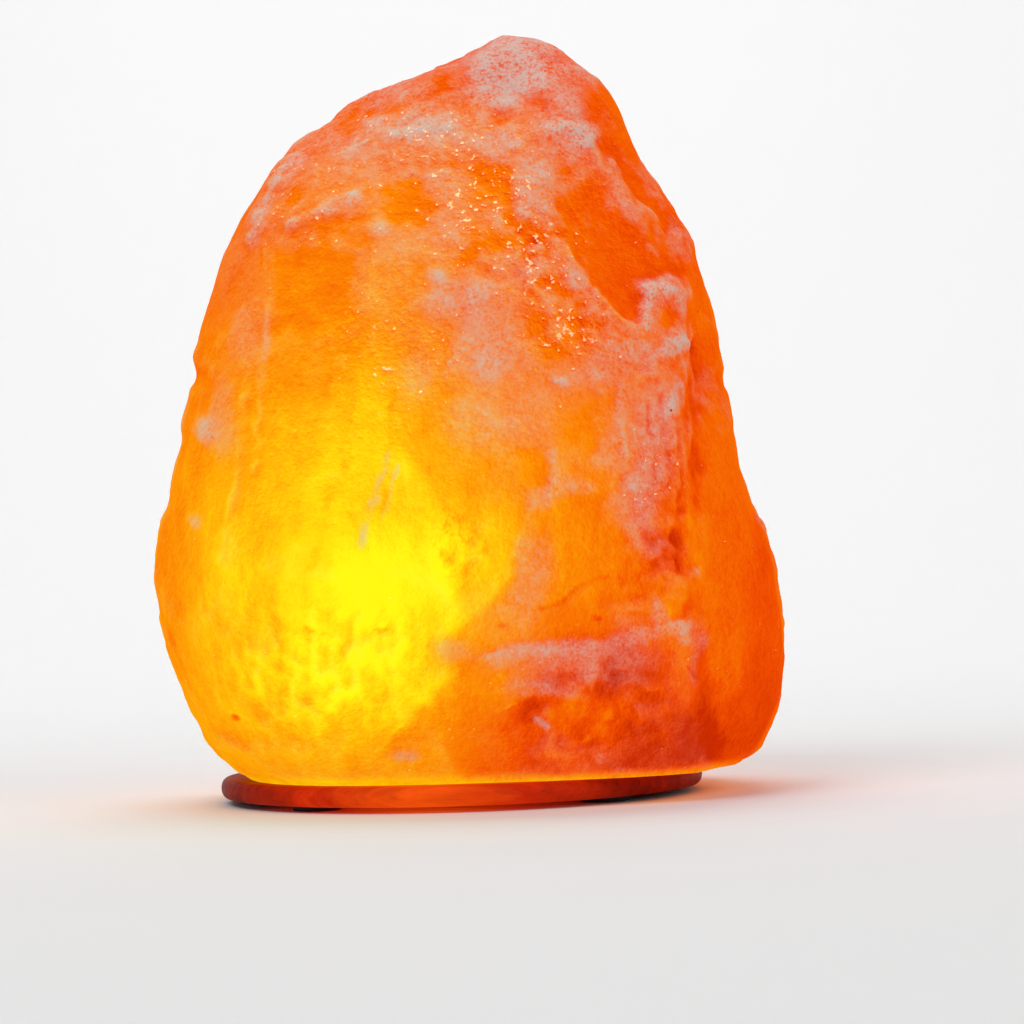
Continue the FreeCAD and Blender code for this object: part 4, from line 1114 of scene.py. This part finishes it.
def salt_material():
    """Rock salt: deep orange, light coming through it, frosted on ridges, painted glints with painted
    shadows.
    """
    salt = Surface("rock_salt")
    clouds, fine, grit, flakes = (salt.noise(*row) for row in (CLOUDS, FINE, GRIT, FLAKES))
    cloud_swing, fine_swing, grit_swing = (salt.minus(value, 0.5) for value in (clouds, fine, grit))
    sparkle, speck = salt.attribute("sparkle"), dark_specks(salt)

    # frost breaks up into grains: it grows where the noise is high
    swing = salt.total(fine_swing, cloud_swing)
    grains = salt.total(salt.times(swing, FROST_BREAK), salt.times(grit_swing, FROST_GRIT), 1.0)
    frost = salt.times(grains, salt.attribute("frost"), clamp=True)

    # the light inside shows the fine relief: what leans towards it is brighter
    lit = lean_to_light(salt, fine, grit, flakes)
    lit = salt.times(lit, salt.total(salt.times(sparkle, SPARKLE_LEAN), LEAN_LIGHT))
    cloudy, uneven = salt.times(cloud_swing, CLOUD_LIGHT), salt.times(fine_swing, FINE_LIGHT)
    gritty = salt.times(grit_swing, GRIT_LIGHT)
    glow = salt.total(cloudy, lit, salt.attribute("glow"), uneven, gritty, clamp=True)

    # painted glints on the peaks of the flakes where it sparkles, with a painted shadow under each
    limit = salt.minus(GLINT_LIMIT, salt.times(sparkle, GLINT_SPREAD))
    glint = salt.times(salt.minus(flakes, limit), GLINT_EDGE, clamp=True)
    glint = salt.times(glint, salt.times(clouds, 1.7), clamp=True)
    under = salt.noise(*FLAKES, shift=(0.0, 0.0, GLINT_SHADOW_DROP))
    shade = salt.times(salt.minus(under, limit), GLINT_EDGE, clamp=True)
    glow = salt.minus(glow, salt.times(shade, GLINT_SHADOW_DARK), clamp=True)

    # the salt's colour follows the light inside, painted light, under the frost's own colour
    body = salt.mix(frost, salt.ramp(glow, SALT_BODY_BY_LIGHT), FROST_COLOUR)
    body = salt.mix(salt.times(glint, 0.75), body, GLINT_COLOUR)
    veil = salt.minus(1.0, salt.times(frost, FROST_VEIL), clamp=True)
    veil = salt.times(veil, salt.minus(1.0, salt.times(speck, SPECK_VEIL)))
    light = salt.mix(veil, BLACK, salt.ramp(glow, SALT_LIGHT))
    salt.shade(
        Base_Color=salt.mix(salt.times(speck, 0.9), body, SPECK_COLOUR),
        Emission_Color=salt.mix(salt.times(glint, 0.4), light, GLINT_LIGHT),
        Emission_Strength=1.0,
        Roughness=salt.total(salt.times(frost, 0.3), 0.50),
        Specular_IOR_Level=0.0,
    )
    return salt.material


def wood_material():
    """Turned hardwood, stained red: long grain and pores, varnish, and the crystal's light on its rim."""
    wood = Surface("stained_wood")
    grain = wood.noise(*WOOD_GRAIN, stretch=WOOD_ALONG)
    pores = wood.noise(*WOOD_PORES, stretch=PORES_ALONG)
    dark = wood.times(wood.maths("LESS_THAN", pores, PORE_LIMIT), 0.5)
    away = wood.vector_maths("DISTANCE", wood.place(), GLOW_ON_BASE)
    lit = wood.maths("MAXIMUM", wood.maths("MULTIPLY_ADD", away, -1 / GLOW_ON_BASE_FADE, 1.0), 0.0)
    lit = wood.times(lit, wood.total(grain, 0.35))
    wood.shade(
        Base_Color=wood.mix(dark, wood.ramp(grain, WOOD_STAIN), WOOD_PORE),
        Emission_Color=wood.ramp(lit, WOOD_LIGHT),
        Emission_Strength=1.0,
        Roughness=wood.total(wood.times(pores, 0.3), 0.30),
        Specular_IOR_Level=0.03,
    )
    wood.bump(pores, 0.06 * MM, 0.5)
    return wood.material


def glass_material(name, tint):
    """Clear glass with a faint unevenness of tint."""
    glass = Surface(name)
    tint = glass.mix(glass.noise(60.0), tint, tuple(c * 0.94 for c in tint))
    glass.shade(Base_Color=tint, Transmission_Weight=1.0, IOR=1.5, Roughness=0.02)
    return glass.material


def hot_material():
    """A filament at white heat."""
    hot = Surface("hot_filament")
    light = hot.mix(hot.noise(900.0), (1.0, 0.62, 0.24), (1.0, 0.78, 0.42))
    hot.shade(Emission_Color=light, Emission_Strength=6.0, Base_Color=(0.4, 0.3, 0.2))
    return hot.material


# ---------------------------------------------------------------- stage
HALF_FLOOR, FLOOR_FRONT = 3.0, -3.0
BACKDROP, BACKDROP_TOP, COVE, COVE_STEPS = 1.6, 2.6, 0.8, 16
LAMP_HEART = (0.0, 0.0, 0.09)  # what the lights are aimed at
WORLD_LIGHT = 0.36


def add_stage():
    """A pale floor that curves up into a backdrop."""
    turns = [math.pi / 2 * i / COVE_STEPS for i in range(1, COVE_STEPS + 1)]
    cove = [(BACKDROP - COVE + COVE * math.sin(a), COVE - COVE * math.cos(a)) for a in turns]
    profile = [(FLOOR_FRONT, 0.0), (BACKDROP - COVE, 0.0), *cove, (BACKDROP, BACKDROP_TOP)]
    vertices = [(x, y, z) for y, z in profile for x in (-HALF_FLOOR, HALF_FLOOR)]
    faces = [(2 * i, 2 * i + 1, 2 * i + 3, 2 * i + 2) for i in range(len(profile) - 1)]
    mesh = new_mesh("floor", vertices, faces)
    shade_smooth(mesh)
    floor = Surface("pale_floor")
    floor.shade(Base_Color=(0.86, 0.86, 0.86), Roughness=0.9, Specular_IOR_Level=0.1)
    mesh.materials.append(floor.material)
    new_object("floor", mesh)


def add_light(name, place, size, power, aim=LAMP_HEART):
    data = bpy.data.lights.new(name, "AREA")
    data.size = size
    data.energy = power
    light = new_object(name, data)
    light.location = place
    light.rotation_euler = (Vector(aim) - Vector(place)).to_track_quat("-Z", "Y").to_euler()


def light_scene():
    """Soft light from the left, the right and the world, and light on the backdrop."""
    world = bpy.data.worlds.new("world")
    world.use_nodes = True
    background = world.node_tree.nodes["Background"].inputs
    background["Color"].default_value = (1.0, 1.0, 1.0, 1.0)
    background["Strength"].default_value = WORLD_LIGHT
    SCENE.world = world
    add_light("key", (-0.7, -1.0, 1.3), 0.9, 9.5)
    add_light("fill", (0.9, -0.9, 0.7), 1.0, 3.0)
    add_light("backdrop", (0.0, 0.7, 1.7), 1.2, 16.0, aim=(0.0, BACKDROP, 0.4))
    SCENE.view_settings.view_transform = "Standard"


# ---------------------------------------------------------------- the lamp
# by slot: the material's name, its colour, roughness, metallic share, spread of colour, grain and coat
PAINTS = {
    "plated_steel": ("zinc_steel", (0.62, 0.61, 0.57), 0.35, 1.0, 0.1),
    "spring_steel": ("spring_steel", (0.42, 0.43, 0.45), 0.3, 1.0, 0.12, 600.0),
    "holder_plastic": ("black_plastic", (0.02, 0.02, 0.022), 0.3, 0.0, 0.15, 900.0, 0.2),
    "shell_brass": ("brass", (0.72, 0.50, 0.20), 0.28, 1.0, 0.12),
    "lamp_brass": ("cap_brass", (0.74, 0.66, 0.50), 0.3, 1.0, 0.1),
    "foot_rubber": ("rubber", (0.02, 0.02, 0.02), 0.7),
    "core_ceramic": ("porcelain", (0.82, 0.80, 0.75), 0.4, 0.0, 0.15, 900.0, 0.3),
    "plug_plastic": ("nylon", (0.55, 0.55, 0.52), 0.5),
}
SOFTENED = (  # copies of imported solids: the piece, its node, how far its edges are rounded in mm, its slot
    *((f"soft_foot_{i}", f"rubber_foot_{i}", 0.3, "foot_rubber") for i in range(1, 5)),
    ("soft_screws", "base_screws", 0.12, "plated_steel"),
    ("soft_plugs", "screw_plugs", 0.15, "plug_plastic"),
    ("soft_nut", "clip_nut", 0.35, "plated_steel"),
    ("soft_clip", "spring_clip", 0.12, "spring_steel"),
    ("soft_holder_cap", "holder_cap", 0.3, "holder_plastic"),
    ("soft_core", "holder_core", 0.25, "core_ceramic"),
    ("soft_contact", "centre_contact", 0.08, "shell_brass"),
    ("soft_blocks", "terminal_blocks", 0.25, "shell_brass"),
    ("soft_terminal_screws", "terminal_screws", 0.12, "plated_steel"),
    ("soft_tip", "bulb_contact", 0.12, "lamp_brass"),
)
MADE = (  # pieces with a shape of their own: what makes it, its node, its slot
    (threaded_nipple, "cord_nipple", "plated_steel"),
    (fluted_skirt, "holder_skirt", "holder_plastic"),
    (rolled_shell, "threaded_shell", "shell_brass"),
    (rolled_cap, "lamp_cap", "lamp_brass"),
    (blown_glass, "bulb_glass", "clear_glass"),
    (pressed_stem, "glass_stem", "stem_glass"),
    (coiled_filament, "filament", "hot_filament"),
)
DRESSED = (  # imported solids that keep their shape, and their paint
    (("cap_insulator",), ("black_glass", (0.01, 0.01, 0.013), 0.15, 0.0, 0.15, 900.0, 0.5)),
    (("cap_cement",), ("cement", (0.55, 0.50, 0.40), 0.8)),
    (("lead_wires", "support_wire"), ("nickel_wire", (0.55, 0.53, 0.50), 0.35, 1.0)),
)


def cover(piece, material):
    piece.data.materials.clear()
    piece.data.materials.append(material)


def fit(piece, node, slot, material):
    """A new piece stands for a node: it rides on the node's body, with a material. The slot is not used."""
    cover(piece, material)
    bodies = frame["record"]["behaviour"]["bodies"]
    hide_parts(node)
    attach(piece, next(body for body, nodes in bodies.items() if node in nodes))


def build_lamp():
    """Every visible piece, with what it stands for."""
    fit(sculpted_crystal(), "salt_crystal", "rock_salt", salt_material())
    fit(turned_base(), "wood_base", "base_wood", wood_material())
    materials = {slot: paint(*values) for slot, values in PAINTS.items()}
    materials["clear_glass"] = glass_material("clear_glass", (1.0, 0.98, 0.94))
    materials["stem_glass"] = glass_material("stem_glass", (0.9, 0.95, 0.92))
    materials["hot_filament"] = hot_material()
    for name, node, width, slot in SOFTENED:
        fit(softened(name, node, width * MM), node, slot, materials[slot])
    for make, node, slot in MADE:
        fit(make(), node, slot, materials[slot])
    for nodes, values in DRESSED:
        material = paint(*values)
        for node in nodes:
            cover(frame["nodes"][node], material)


add_camera()
light_scene()
add_stage()
build_lamp()
